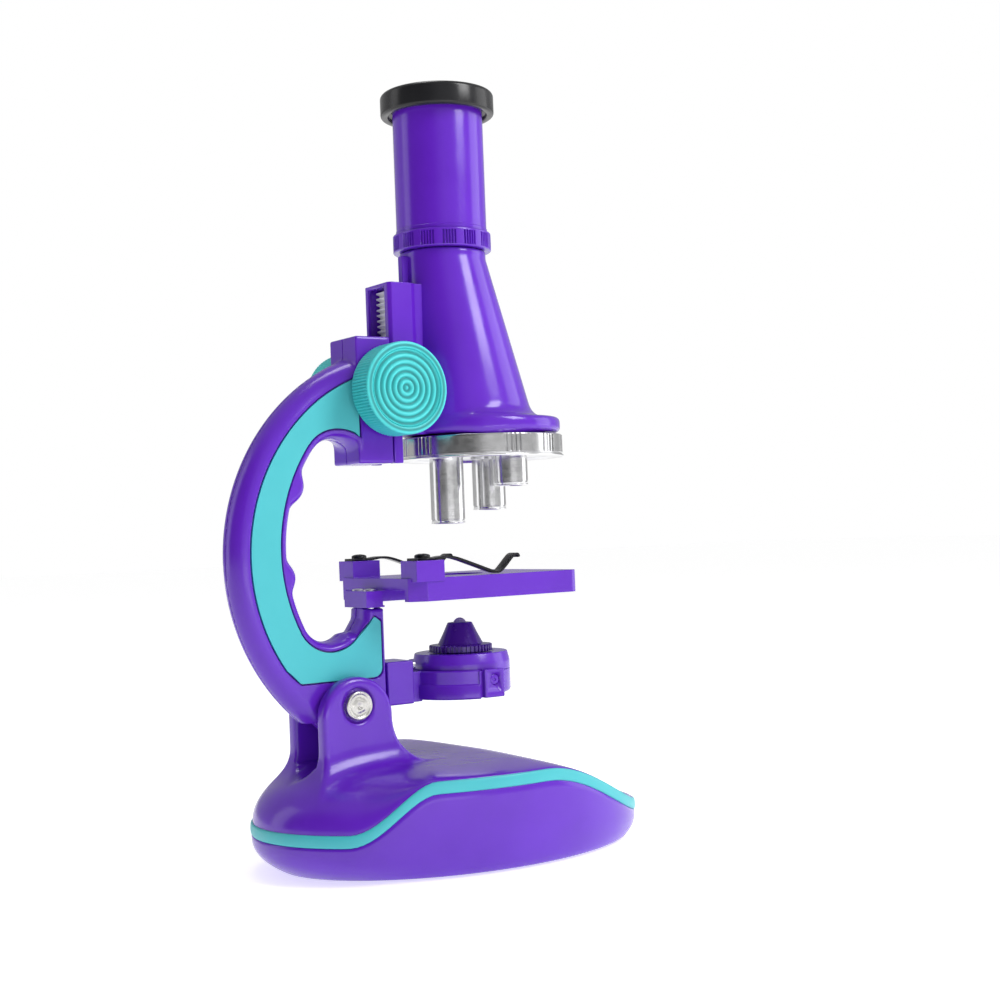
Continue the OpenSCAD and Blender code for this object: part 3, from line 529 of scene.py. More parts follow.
def lens_glass(name, tint, dusty, clear=0.92):
    """Lens with a faint film of dust."""
    s = Shader(name, Transmission_Weight=clear, IOR=1.52, Coat_Weight=0.4)
    colour = s.mix(s.ranged(s.noise(60, 3), 0.4, 0.6, 0, 1), tint, dusty)
    gloss = s.ranged(s.noise(800, 5), 0.4, 0.8, 0.02, 0.16)
    return s.finish(colour, gloss, (s.noise(500, 2), 0.01, 0.1))


purple = moulded_plastic("purple_abs", (0.104, 0.0135, 0.45), (0.12, 0.018, 0.51))
purple_tube = moulded_plastic("purple_tube_abs", (0.108, 0.014, 0.47), (0.122, 0.018, 0.52),
                              rough=(0.15, 0.23), peel=0.12)
# darker, rougher copy of the purple: painted shade for the lamp cone, which sits in the stage's shadow
purple_shaded = moulded_plastic("purple_nose_shaded_abs", (0.05, 0.007, 0.2), (0.06, 0.009, 0.235), rough=(0.22, 0.34))
purple_matt = matt_surface("purple_cover_abs", (0.07, 0.018, 0.3), (0.09, 0.024, 0.34))
teal = moulded_plastic("teal_inlay_abs", (0.05, 0.45, 0.5), (0.06, 0.485, 0.535),
                       rough=(0.36, 0.48), peel=0.1, coat=0.0)
# its groove colour is painted shade, darkening the grooves between the face's rings
teal_knob = moulded_plastic("teal_knob_abs", (0.055, 0.57, 0.585), (0.07, 0.635, 0.65),
                            rough=(0.42, 0.54), peel=0.12, grain=0.2, coat=0.0, groove_shade=(0.012, 0.24, 0.25))
black_gloss = moulded_plastic("black_cup_abs", (0.012, 0.012, 0.014), (0.018, 0.018, 0.02),
                              rough=(0.16, 0.3), peel=0.12, ior=1.4, coat=0.0)
black_matt = matt_surface("black_plastic", (0.012, 0.012, 0.013), (0.02, 0.02, 0.02), rough=(0.4, 0.6))
black_spring = turned_metal("black_spring_steel", (0.035, 0.035, 0.038), (0.015, 0.015, 0.016),
                            rough=(0.22, 0.4), rings=300, axis=1)
rubber = matt_surface("foot_rubber", (0.02, 0.02, 0.021), (0.035, 0.035, 0.035), rough=(0.75, 0.92))
chrome = turned_metal("turned_chrome", (0.71, 0.71, 0.72), (0.56, 0.56, 0.58),
                      rough=(0.14, 0.22), smudge=0.04)
bolt_chrome = turned_metal("bolt_chrome", (0.56, 0.55, 0.53), (0.38, 0.37, 0.35),
                           rough=(0.2, 0.36), rings=60, axis=1)
zinc = turned_metal("zinc_screw", (0.62, 0.62, 0.64), (0.4, 0.4, 0.42), rough=(0.22, 0.42), rings=900)
acetal = matt_surface("silver_rack", (0.84, 0.84, 0.86), (0.95, 0.95, 0.96), rough=(0.2, 0.34), grain=0.1)
brass = turned_metal("brass_contact", (0.75, 0.52, 0.2), (0.5, 0.33, 0.12), rough=(0.2, 0.4))
board = matt_surface("green_board", (0.01, 0.14, 0.05), (0.02, 0.2, 0.07), rough=(0.3, 0.45))
glass = lens_glass("lens_glass", (0.82, 0.9, 0.96), (0.93, 0.97, 1.0))
frosted = lens_glass("frosted_lens", (0.5, 0.44, 0.58), (0.58, 0.52, 0.66), clear=0.3)
silvering = turned_metal("mirror_silvering", (0.9, 0.92, 0.93), (0.8, 0.82, 0.84),
                         rough=(0.01, 0.05), rings=6)

# ---- base


def band_height(x):
    """Height of the band's middle, from the back to the front."""
    return BAND_BACK_Z + BAND_RISE * ease(x, RISE_FROM, RISE_TO) - BAND_FALL * ease(x, FALL_FROM, FALL_TO)


def crest_height(x):
    """Height of the deck on the mid-plane: a hump under the ears, then a slope to the front."""
    w = ease(x, CREST_FROM, CREST_TO)
    return CREST_Z * (1 - w) + (band_height(x) + CREST_OVER) * w


def dome_shape(x, y, z):
    """Implicit form of the deck: zero on its surface, not yet a distance."""
    across, along = y / (BASE_B - RIM_IN), (x - BASE_X) / (BASE_A - RIM_IN)
    out = np.sqrt(across**2 + along**2) + 1e-9
    lean = along / out
    edge = band_height(BASE_X + BASE_A * lean) + BAND_HALF
    rise = np.maximum(crest_height(x) - edge, 1.2)
    full = np.where(lean < 0, 3.4 + 1.6 * lean**2, 3.4 - 0.4 * lean)
    return np.sqrt((np.maximum(z - edge, 0) / rise) ** 2 + out**full) - 1, edge


def dome_distance(x, y, z):
    """Near distance to the deck, and the height of its edge."""
    here, edge = dome_shape(x, y, z)
    step = 0.25
    slope = [dome_shape(x + step * a, y + step * b, z + step * c)[0] - here for a, b, c in np.eye(3)]
    size = np.sqrt(sum(s**2 for s in slope)) / step
    return np.clip(here / np.maximum(size, 1e-3), -8, 30), edge


def ear_distance(x, y, z):
    """The two clevis ears, with a concave web in front and rounded rims."""
    side = np.abs(y)
    head = np.hypot(x - EAR[0], z - EAR[1]) - EAR_R
    column = np.maximum(np.abs(x - EAR[0]) - EAR_R, z - EAR[1])
    web_x = EAR[0] + EAR_R + WEB_R
    web = np.maximum(np.maximum(EAR[0] - x, x - web_x), z - WEB_Z)
    web = np.maximum(web, WEB_R - np.hypot(x - web_x, z - WEB_Z))
    flat = np.maximum(np.minimum(np.minimum(head, column), web), EAR_ROOT_Z - z)
    middle, half = (EAR_IN + EAR_OUT) / 2, (EAR_OUT - EAR_IN) / 2
    return carved_off(flat, np.abs(side - middle) - half, 1.6)


def base_distance(x, y, z):
    """Deck and ears, with the slot for the arm and a recess round each end of the pivot."""
    dome, edge = dome_distance(x, y, z)
    ears = ear_distance(x, y, z)
    body = blended(dome, ears, 7 - 4.8 * ease(x, -20, -9))  # a tighter crease at the webs' front ends
    gap = np.maximum(np.abs(y) - EAR_IN, CLEVIS_Z - z)
    body = carved_off(body, -gap, 0.8)
    recess = np.maximum(np.hypot(x - PIVOT[0], z - PIVOT[1]) - RECESS_R, EAR_OUT - 1 - np.abs(y))
    body = carved_off(body, -recess, 0.5)
    return np.maximum(body, edge - LIP - z)


shell_low = (BASE_X - BASE_A - 1.5, -BASE_B - 1.5, 7.5)
shell_high = (BASE_X + BASE_A + 2.5, BASE_B + 1.5, 55)
shell = shaped("upper_shell", base_distance, shell_low, shell_high, 0.62)
finished(shell, "base", SHELL, purple, "base_shell_upper")

OVAL = np.linspace(0, 2 * math.pi, 181)[:-1]


def oval_ring(inset, height):
    """Ring round the foot; inset and height may change with the angle."""
    x = BASE_X + (BASE_A - inset) * np.cos(OVAL)
    y = (BASE_B - inset) * np.sin(OVAL)
    return np.stack([x, y, height + np.zeros_like(x)], 1)


def make_band():
    """Teal band, gently bulged, that stands a little proud of both shells."""
    z = band_height(BASE_X + BASE_A * np.cos(OVAL))
    edge_in, bulge, back = 0.35, 0.63, 1.3
    rings = []
    for a in np.radians(np.linspace(-90, 90, 13)):
        rings.append(oval_ring(edge_in - bulge * math.cos(a) ** 0.6, z + BAND_HALF * math.sin(a)))
    rings += [oval_ring(back, z + BAND_HALF), oval_ring(back, z - BAND_HALF)]
    return loops("trim_band", rings, closed=True, sharp=50)


finished(make_band(), "base", "teal_inlay", teal, "base_trim_band")


def make_skirt():
    """Bulging lower shell, from the band down to the table, with a cavity inside."""
    top = band_height(BASE_X + BASE_A * np.cos(OVAL)) - BAND_HALF
    reach = 5.2 - 2.8 * np.cos(OVAL)
    rings = [oval_ring(0.25, top)]
    for s in np.linspace(0.03, 0.97, 15):
        rings.append(oval_ring(reach * s**2.4 - 0.15 * math.sin(math.pi * s), top - s * (top - FOOT_Z)))
    rings += [oval_ring(reach + 0.35, FOOT_Z + 0.12), oval_ring(reach + 0.9, FOOT_Z)]
    rings += [oval_ring(reach + WALL, FOOT_Z), oval_ring(reach * 0.3 + WALL, top - 0.5 * (top - FOOT_Z))]
    rings.append(oval_ring(WALL, top))
    return loops("lower_shell", rings, closed=True, sharp=50)


finished(make_skirt(), "base", SHELL, purple, "base_shell_lower")

for node, slot, finish in (
    ("base_bottom_cover", "purple_matte_cover", purple_matt), ("rubber_feet", "rubber_foot", rubber),
    ("pivot_nut", "steel_bolt", bolt_chrome), ("pivot_washers", "nylon_washer", black_matt),
):
    finished(cad_copy(node, 0.3), "base", slot, finish, node)


def make_bolt():
    """Domed bolt with a stamped, dished face."""
    face = [(r, 0.75 - 0.11 * math.cos(r * 2.6)) for r in np.linspace(2.9, 0, 12)]
    rim = arc((3.55, 0.45), 0.45, 0, 80, 5) + [(3.3, 0.86), (3.05, 0.7)]
    profile = [(0, -21), (2.5, -21), (2.5, -1.0), (4.0, -1.0)] + rim + face
    return lathe("bolt", profile, (PIVOT[0], -EAR_OUT, PIVOT[1]), "-Y", 72,
                 lambda a, r, h: 0.1 * np.cos(5 * a) * (1.2 < r < 2.9) * (h > 0))


finished(make_bolt(), "base", "steel_bolt", bolt_chrome, "pivot_bolt")

# ---- arm

VOID = (
    arc(HIGH_C, HIGH_R, 20, GRIP_FROM, 20)
    + arc(GRIP_C, GRIP_R, GRIP_FROM, GRIP_TO, 40)
    + arc(LOW_C, LOW_R, GRIP_TO, 310, 24)
    + [(-27.4, 65.2), (-25.1, 68.6), (-24.6, 73), (-20, 90)]
)
POST = [(-95, 160), (-95, ARM_FOOT_Z), (-24.5, ARM_FOOT_Z), (POST_X, 47), (POST_X, HORN_Z), (-25, HORN_Z),
        (-25, 160)]


def arm_distance(x, y, z):
    """The arm without its guide block, with elliptical rims of three depths."""
    plane_x, plane_z = x, z
    if x.ndim == 3:  # on a grid the outline is worked out once for each column
        plane_x, plane_z = x[:, :1, :], z[:, :1, :]
    back = np.hypot(plane_x - ARM_C[0], plane_z - ARM_C[1]) - ARM_R
    void = -outline_distance(plane_x, plane_z, VOID)
    for centre, radius in RIDGES:
        void = blended(void, np.hypot(plane_x - centre[0], plane_z - centre[1]) - radius, 2.2)
    post = outline_distance(plane_x, plane_z, POST)
    lug = np.hypot(plane_x - PIVOT[0], plane_z - PIVOT[1]) - LUG_R
    half = ARM_HALF + flare(plane_x, plane_z)[0]
    side = np.abs(y) / half
    u = np.maximum(
        np.maximum((back + ROUND_BACK) / ROUND_BACK, (void + ROUND_GRIP) / ROUND_GRIP),
        (np.minimum(post, lug) + ROUND_POST) / ROUND_POST,
    )
    depth = np.where(
        back / ROUND_BACK >= np.maximum(void / ROUND_GRIP, post / ROUND_POST),
        ROUND_BACK,
        np.where(void / ROUND_GRIP >= post / ROUND_POST, ROUND_GRIP, ROUND_POST),
    )
    u = np.maximum(u, 0)
    flat = (side - 1) * half
    curve = np.where(u > 0, (np.sqrt(u**2 + side**2) - 1) * depth, flat)
    return np.maximum(curve, flat)


def arm_body(x, y, z):
    """Arm and guide block, with the tongue that holds the slide and the space round the pinion."""
    low, high = (BLOCK_X0, -BLOCK_HALF, BLOCK_Z0), (BLOCK_X1, BLOCK_HALF, BLOCK_Z1)
    body = blended(arm_distance(x, y, z), bar_distance(x, y, z, low, high, 0.5), 0.8)
    for x0, x1, half in ((-16, -13.4, 4.2), (-13.5, -12.3, 5.0)):
        bar = bar_distance(x, y, z, (x0, -half, TONGUE_Z0), (x1, half, TONGUE_Z1), 0.1)
        body = np.minimum(body, bar)
    pocket = np.maximum(np.hypot(x - KNOB_X, z - KNOB_Z) - PINION_SPACE_R, np.abs(y) - PINION_SPACE_HALF)
    return np.maximum(body, -pocket)


def arm_half():
    """Right-hand half of the arm, up to the seam on the mid-plane."""
    low, high = (-65.5, -8.3, 35.5), (-11.5, 0.8, 148.3)
    return shaped("arm_half", lambda x, y, z: np.maximum(arm_body(x, y, z), SEAM + y), low, high, 0.5)


def inlay_outline(grow):
    """Outline of the panel on the arm's side, grown all round by a distance."""
    inner = ROUND_GRIP + INLAY_BORDER - grow
    outer = arc(RIM_C, RIM_R + grow, 112.5, 214.5, 60)
    foot_z, post_x = 52.3 - grow, -20.2 + grow
    foot = filleted([(*outer[-1], 0), (-47.6 - grow, 54.6 - grow, 1.2), (-45.4, foot_z, 1.2),
                     (post_x, foot_z, 2.6), (post_x, 67.6 + grow, 0.7), (-22.0, 69.0 + grow, 0.7)], 4)[1:]
    horn = [(-23.6 - grow / 2, 67.2 + grow)]
    low = arc(LOW_C, LOW_R + inner, 318, GRIP_TO, 24)
    grip = arc(GRIP_C, GRIP_R + inner, GRIP_TO, GRIP_FROM, 40)
    high = arc(HIGH_C, HIGH_R + inner, GRIP_FROM, 62, 16)
    end_x = BLOCK_X0 + 0.2 + grow
    return outer + foot + horn + low + grip + high + [(end_x, high[-1][1] - 1.2), (end_x, outer[0][1] - 0.1)]


def flare(x, z):
    """How far the arm's side leans out towards the guide block, and its slope along X."""
    share = np.clip((x - FLARE_X) / FLARE_L, 0, 1.2) * (z > FLARE_Z)
    rise = BLOCK_HALF - ARM_HALF
    return rise * share**2, 2 * rise / FLARE_L * share


def make_inlay(name, grow, depth, proud):
    """Plate of the inlay's outline, cut into strips so that it can bend with the flare."""
    flat = prism(name, inlay_outline(grow), -(ARM_HALF + proud), -(ARM_HALF - depth), "Y", 0)
    with edited(flat.data) as bm:
        for x in np.arange(-39, BLOCK_X0, 1.0):
            geometry = bm.verts[:] + bm.edges[:] + bm.faces[:]
            bmesh.ops.bisect_plane(bm, geom=geometry, plane_co=(x * MM, 0, 0), plane_no=(1, 0, 0))
        for v in bm.verts:
            v.co.y -= float(flare(v.co.x / MM, v.co.z / MM)[0]) * MM
    return flat


def evenly_lit(panel, side):
    """Gives the panel's broad face the exact normals of its gentle bend."""
    mesh = baked(panel).data
    normals = [n.vector.copy() for n in mesh.corner_normals]
    for face in mesh.polygons:
        if face.normal.y * side > 0.9:
            for corner in face.loop_indices:
                place = mesh.vertices[mesh.loops[corner].vertex_index].co / MM
                normals[corner] = Vector((-float(flare(place.x, place.z)[1]), side, 0)).normalized()
    mesh.normals_split_custom_set(normals)


def mirrored(piece):
    """Turns a right-hand piece into its left-hand twin."""
    with edited(piece.data) as bm:
        bmesh.ops.transform(bm, matrix=Matrix.Scale(-1, 4, (0, 1, 0)), verts=bm.verts)
        bmesh.ops.reverse_faces(bm, faces=bm.faces)


for side, word, _ in SIDES:
    half = carved(arm_half(), make_inlay("cutter", INLAY_GAP, INLAY_T + 0.5, 2.0))
    panel = soften(make_inlay("inlay_" + word, 0, INLAY_T, 0.05), 0.16, 3, 50)
    if side > 0:
        mirrored(half)
        mirrored(baked(panel))
    evenly_lit(panel, side)
    half.name = "arm_shell_" + word
    finished(half, "arm", SHELL, purple, "arm_half_" + word)
    finished(panel, "arm", "teal_inlay", teal, "arm_inlay_" + word)

# ---- stage, clips and lamp fork

finished(cad_copy("stage_plate", 0.45), "arm", SHELL, purple, "stage_plate")


def make_fork():
    """Bracket from the arm's post with a grooved half ring round the lamp and a tab at each pivot."""
    profile = [(FORK_R, 44.4), (16.5, 44.4), (16.9, 44.8), (16.9, 48.1), (16.75, 48.4), (16.35, 48.7),
               (16.35, 52.2), (16.1, 52.5), (FORK_R, 52.5)]
    ring = lathe("ring", profile, (LAMP_X, 0, 0), "Z", 160)
    ring = carved(ring, block("cut", (LAMP_X - 4.0, LAMP_X + 30), (-30, 30), (40, 60), 0))
    sides = []
    for s, _, axis in SIDES:
        outwards = sorted((s * FORK_R, s * TAB_OUT))
        tab = block("tab", (LAMP_X - TAB_HALF, LAMP_X + TAB_HALF), outwards, (44.6, 52.6), 0.35)
        hole_r = PIN_R + 0.08
        hole = lathe("hole", [(0, 12), (hole_r, 12), (hole_r, 20), (0, 20)], (LAMP_X, 0, PIN_Z), axis, 40)
        sides.append(carved(tab, hole))
    for s, _, _ in SIDES:
        outwards = sorted((s * FORK_R, s * (FORK_R + 1)))
        sides.append(block("link", (LAMP_X - 4.4, LAMP_X - 3.0), outwards, (44.7, 52.2), 0.1))
    arm = block("bracket", (POST_X, POST_X + 8.5), (-ARM_HALF, ARM_HALF), (43.8, 56), 0.5)
    neck = block("neck", (POST_X + 8, POST_X + 12.4), (-3.2, 3.2), (43.9, 52.5), 0.2)
    return joined("fork", ring, *sides, arm, neck)


finished(make_fork(), "arm", SHELL, purple, "lamp_fork")


def crossed_head(x, y, z, radius, height, shank, length):
    """Pan head with a cross recess, standing on its shank."""
    profile = [(0, -length), (shank, -length), (shank, 0), (radius, 0), (radius, height * 0.45)]
    dome = [(radius * math.cos(a), height * (0.45 + 0.55 * math.sin(a))) for a in np.linspace(0.25, 1.57, 7)]
    head = lathe("screw", profile + dome[:-1] + [(0, height)], (x, y, z), "Z", 40)
    reach, half = radius * 0.62, radius * 0.14
    slots = [
        block("slot", (x - a, x + a), (y - b, y + b), (z + height * 0.5, z + height * 1.3), 0)
        for a, b in ((reach, half), (half, reach))
    ]
    return carved(head, *slots)


def screw_pair(name, x, y, *sizes):
    """Two screws, one at each side of the mid-plane."""
    return joined(name, *[crossed_head(x, y * s, *sizes) for s, _, _ in SIDES])


finished(screw_pair("stage_screw_pair", STAGE_SCREW_X, STAGE_SCREW_Y, STAGE_SCREW_Z, 1.8, 0.6, 1.1, 10.5),
         "arm", "steel_screw", zinc, "stage_screws")
finished(screw_pair("clip_screw_pair", CLIP_X, CLIP_Y, CLIP_Z + 0.4, 2.2, 1.15, 1.0, 5.5),
         "arm", "black_spring_clip", black_spring, "clip_screws")
finished(cad_copy("fork_screw", 0.15), "arm", "steel_screw", zinc, "fork_screw")


def smooth_path(points, steps=6):
    """Catmull-Rom curve through points."""
    p = np.array([points[0]] + list(points) + [points[-1]], float)
    out = []
    for a, b, c, d in zip(p, p[1:], p[2:], p[3:]):
        for t in np.arange(steps) / steps:
            square, cube = 2 * a - 5 * b + 4 * c - d, 3 * b - a - 3 * c + d
            out.append(0.5 * (2 * b + (c - a) * t + square * t**2 + cube * t**3))
    return np.array(out + [p[-2]])


CLIP_LINE = at(CLIP_Z, (-3.6, 0), (0, 0), (3.4, 0.05), (6.6, 0.35), (10.2, -0.05), (16.4, -2.15),
               (20.8, -3.75), (23.2, -4.5), (24.8, -4.4), (26.6, -2.95), (28.8, -0.75), (30.0, 0.1),
               (31.0, 0.1), (31.3, -0.65))


def make_clip(side):
    """Bent spring strip with a rolled tip and a round eye under its screw."""
    line = smooth_path(CLIP_LINE)
    along = np.gradient(line, axis=0)
    along /= np.linalg.norm(along, axis=1)[:, None]
    wide, thick = CLIP_W / 2, CLIP_T / 2
    corners = filleted([(a * wide, b * thick, 0.14) for a, b in ((-1, -1), (1, -1), (1, 1), (-1, 1))], 3)
    rings = []
    for (x, z), (dx, dz) in zip(line, along):
        width = 1.0 - 0.3 * float(ease(x, 4, 9)) + 0.12 * float(ease(x, 22, 27))
        rings.append([(CLIP_X + x - dz * v, side * CLIP_Y + u * width, z + dx * v) for u, v in corners])
    strip = loops("strip", rings, sharp=40)
    bore, rim = 1.06, 0.27
    profile = at(CLIP_Z, (bore, -rim)) + arc((3.15, CLIP_Z), rim, -90, 90, 6) + at(CLIP_Z, (bore, rim))
    eye = lathe("eye", profile, (CLIP_X, side * CLIP_Y, 0), "Z", 48)
    return joined("clip_spring", strip, eye)


for side, word, _ in SIDES:
    clip = make_clip(side)
    clip.name = "spring_clip_" + word
    finished(clip, "clip_" + word, "black_spring_clip", black_spring, "clip_" + word)

# ---- focus


def knob_profile():
    """From the hub's inner end outwards, round the rim and back over the ridged face."""
    hub, bore, rim_in, web_y, face_y, ridge = 3.2, 1.12, KNOB_R - 2.4, 3.5, 8.38, 0.34
    crest = face_y + ridge
    face = [(r, face_y + ridge * math.cos(2 * math.pi * r / RING_PITCH))
            for r in np.arange(10.6, 0, -RING_PITCH / 10)]
    inside = [(bore, 0), (hub, 0), (hub, web_y), (rim_in, web_y), (rim_in, 0)]
    grip = [(KNOB_R - 0.7, 0), (KNOB_R - 0.25, 0.25), (KNOB_R, 0.8), (KNOB_R, 4.2), (KNOB_R, KNOB_T - 0.9)]
    rim = arc((KNOB_R - 0.75, KNOB_T - 0.75), 0.75, 0, 90, 6)
    step = at(KNOB_T, (11.3, -0.02), (11.05, -0.12), (10.85, -0.7))
    return inside + grip + rim + step + face + [(0, crest), (0, 7.6), (bore, 7.6)]


def knob_ribs(angles, radius, height):
    """Grooves between the grip's ribs, fading out over the rim."""
    if radius < KNOB_R - 0.75 or height < 0.3:
        return np.zeros(len(angles))
    wave = 0.5 + 0.5 * np.cos(KNOB_RIBS * angles)
    fade = 1 - float(ease(height, KNOB_T - 1.0, KNOB_T - 0.25))
    return 0.5 * wave**1.3 * fade


for side, word, axis in SIDES:
    place = (KNOB_X, side * KNOB_IN, KNOB_Z)
    knob = lathe("focus_wheel_" + word, knob_profile(), place, axis, KNOB_RIBS * 5, knob_ribs, 40)
    finished(knob, "focus", "teal_knob", teal_knob, "focus_knob_" + word)

# ---- body tube


def tube_distance(x, y, z):
    """Leaning cone that flows into the round flange."""
    share = (z - FLANGE_Z1) / (CONE_Z1 - FLANGE_Z1)
    middle = CONE_X + (OPTIC_X - CONE_X) * share
    radius = CONE_R0 + (CONE_R1 - CONE_R0) * share
    radius = np.where(z > CONE_Z1, CONE_R1, radius)
    middle = np.where(z > CONE_Z1, OPTIC_X, middle)
    cone = (np.hypot(x - middle, y) - radius) * 0.985
    cone = np.maximum(cone, FLANGE_Z0 + 1 - z)
    across = np.hypot(x - TURRET_X, y) - FLANGE_R
    thick = (FLANGE_Z1 - FLANGE_Z0) / 2
    flange = carved_off(across, np.abs(z - FLANGE_Z0 - thick) - thick, 1.9)
    body = blended(cone, flange, 0.8 + 3.4 * ease(x, -1, 9))  # tighter between the knobs
    return carved_off(body, z - CONE_TOP, 0.7)


def make_slide():
    """Dovetailed bar behind the tube, cut out inside for the arm's tongue, with a tail below the flange."""
    edge = [(SLIDE_X0, SLIDE_HALF - 0.9, 0.2), (SLIDE_X0 + 0.9, SLIDE_HALF, 0.3), (-7.2, SLIDE_HALF, 0.4),
            (-5.6, SLIDE_ROOT, 0.6), (4, SLIDE_ROOT, 0)]
    outline = filleted([(x, -y, r) for x, y, r in edge] + edge[::-1], 3)
    bar = prism("slide", outline, FLANGE_Z0, SLIDE_TOP, "Z", 0.35)
    tail = block("tail", (SLIDE_X0, -11.7), (-SLIDE_HALF, SLIDE_HALF), (BLOCK_Z0, FLANGE_Z0 + 0.6), 0.3)
    tall, lip_x = (BLOCK_Z0 - 1, SLOT_TOP), SLIDE_X0 + SLOT_LIP
    slot = block("slot", (SLIDE_X0 - 1, lip_x + 0.01), (-SLOT_HALF, SLOT_HALF), tall, 0)
    cavity = block("cavity", (lip_x, CAVE_X), (-CAVE_HALF, CAVE_HALF), tall, 0)
    return carved(carved(bar, tail, operation="UNION"), slot, cavity)


cone = shaped("cone", tube_distance, (-6, -25, 119), (44, 25, 174.5), 0.55)
slide = make_slide()
rib = block("rib", (-6.4, -2.0), (-1.2, 1.2), (SLIDE_TOP - 1, 171.6), 0.35)
cone = carved(cone, lathe("socket", [(0, 158), (11.0, 158), (11.0, 175), (0, 175)], (OPTIC_X, 0, 0)))
finished(joined("tube_casting", cone, slide, rib), "tube", SHELL, purple_tube, "body_tube")

# ---- turret


def disc_knurl(angles, radius, height):
    """Short groups of grip grooves round the turret's band."""
    depth = np.zeros(len(angles))
    if radius < DISC_R - 0.05 or not DISC_Z0 + 1.3 < height < DISC_Z1 - 0.3:
        return depth
    turn = np.degrees(angles)
    for group in DISC_GROUPS:
        off = (turn - group + 180) % 360 - 180
        wave = np.clip(0.5 - 1.6 * np.cos(2 * math.pi * off / KNURL_PITCH), 0, 1)
        depth = np.maximum(depth, 0.6 * wave * (np.abs(off) < 6.8))
    return depth


disc_profile = (
    at(DISC_Z0, (1.5, 1.5), (3.5, 1.5), (3.5, 0.6), (DISC_R - 3.2, 0.6), (DISC_R - 2.6, 0))
    + arc((DISC_R - 0.1, DISC_Z0 + 0.35), 0.35, -90, 80, 6)
    + at(DISC_Z0, (DISC_R - 0.25, 1.0), (DISC_R, 1.25), (DISC_R, 1.4))
    + [(DISC_R, DISC_Z1 - 0.6)]
    + arc((DISC_R - 0.35, DISC_Z1 - 0.35), 0.35, 0, 90, 4)
    + [(DISC_R - 2.5, DISC_Z1), (1.5, DISC_Z1)]
)
disc = lathe("turret_wheel", disc_profile, (TURRET_X, 0, 0), "Z", 1080, disc_knurl, 35)
finished(disc, "turret", "chrome_turret", chrome, "turret_disc")

for word, angle, tip in OBJECTIVES:
    node = "objective_" + word
    turn = math.radians(TURRET_REST + angle)
    place = (TURRET_X + OBJECTIVE_PITCH * math.cos(turn), OBJECTIVE_PITCH * math.sin(turn), 0)
    top, edge, groove = DISC_Z0 + 0.59, BARREL_R - 0.05, BARREL_R - 0.22
    profile = (
        at(tip, (1.6, 2.3), (1.6, 1.2), (3.9, 0.7), (4.3, 0))
        + arc((BARREL_R - 0.25, tip + 0.25), 0.25, -90, 60, 4)
        + at(tip, (edge, 0.75), (groove, 0.85), (groove, 1.15), (edge, 1.25))
        + [(BARREL_R - 0.03, top), (4.18, top)]
        + [(4.18, DISC_Z1 - 0.3), (3.0, DISC_Z1 - 0.3), (3.0, tip + 2.3)]
    )
    finished(lathe(node + "_barrel", profile, place, "Z", 72), "turret", "chrome_turret", chrome, node)

# ---- eyepiece

tube_out = TUBE_R - 0.02
tube_profile = [
    (9.4, 162.4), (10.95, 162.4), (10.95, RING_Z1), (TUBE_R + 0.15, 178.65), (TUBE_R + 0.15, 179.7),
    (tube_out, 179.9), (tube_out, 190), (tube_out, 202), (tube_out, 216), (TUBE_BORE, 216),
    (TUBE_BORE, 212.05), (9.5, 212.05), (9.5, 211), (TUBE_BORE, 209), (TUBE_BORE, 181), (9.4, 178),
    (9.4, 167.6), (8.4, 167.6), (8.4, 167), (9.4, 167)]
draw_tube = lathe("draw_tube", tube_profile, (OPTIC_X, 0, 0), "Z", 128)
finished(draw_tube, "eyepiece", SHELL, purple_tube, "eyepiece_tube")


def ring_knurl(angles, radius, height):
    """Groups of five ribs, with plain stretches between them."""
    if radius < RING_R - 0.05 or not RING_Z0 + 0.5 < height < RING_Z1 - 0.75:
        return np.zeros(len(angles))
    group = 360 / RING_GROUPS
    off = (np.degrees(angles) + 10.7 + group / 2) % group - group / 2
    wave = np.clip(0.5 + 1.4 * np.cos(2 * math.pi * off / KNURL_PITCH), 0, 1)
    return 0.55 * wave * (np.abs(off) < 8.4)


ring_profile = (
    [(11.0, RING_Z0)]
    + arc((RING_R - 0.4, RING_Z0 + 0.4), 0.4, -90, 0, 4)
    + at(RING_Z0, (RING_R, 0.55), (RING_R, 2.4))
    + at(RING_Z1, (RING_R, -0.8), (RING_R, -0.7))
    + arc((RING_R - 0.4, RING_Z1 - 0.4), 0.4, 0, 90, 4)
    + [(11.0, RING_Z1)]
)
grip_ring = lathe("grip_ring", ring_profile, (OPTIC_X, 0, 0), "Z", RING_GROUPS * 60, ring_knurl)
finished(grip_ring, "eyepiece", SHELL, purple, "knurled_ring")

cup_profile = (
    at(CUP_Z0, (13.22, 1.5), (14.3, 1.1))
    + arc((14.9, CUP_Z0 + 0.45), 0.45, 180, 270, 4)
    + arc((CUP_R - 0.9, CUP_Z0 + 0.9), 0.9, -90, 0, 6)
    + arc((CUP_R - 1.3, TOP_Z - 1.3), 1.3, 0, 100, 8)
    + at(TOP_Z, (14.2, -0.35), (12.4, -0.75), (9.6, -1.3), (7.4, -2.1), (6.3, -2.9), (6.0, -3.4))
    + [(6.0, 216.1), (13.22, 216.1)]
)
eye_cup = lathe("eye_cup", cup_profile, (OPTIC_X, 0, 0), "Z", 128, sharp=50)
finished(eye_cup, "eyepiece", "black_gloss_cup", black_gloss, "eyecup")

# ---- lamp

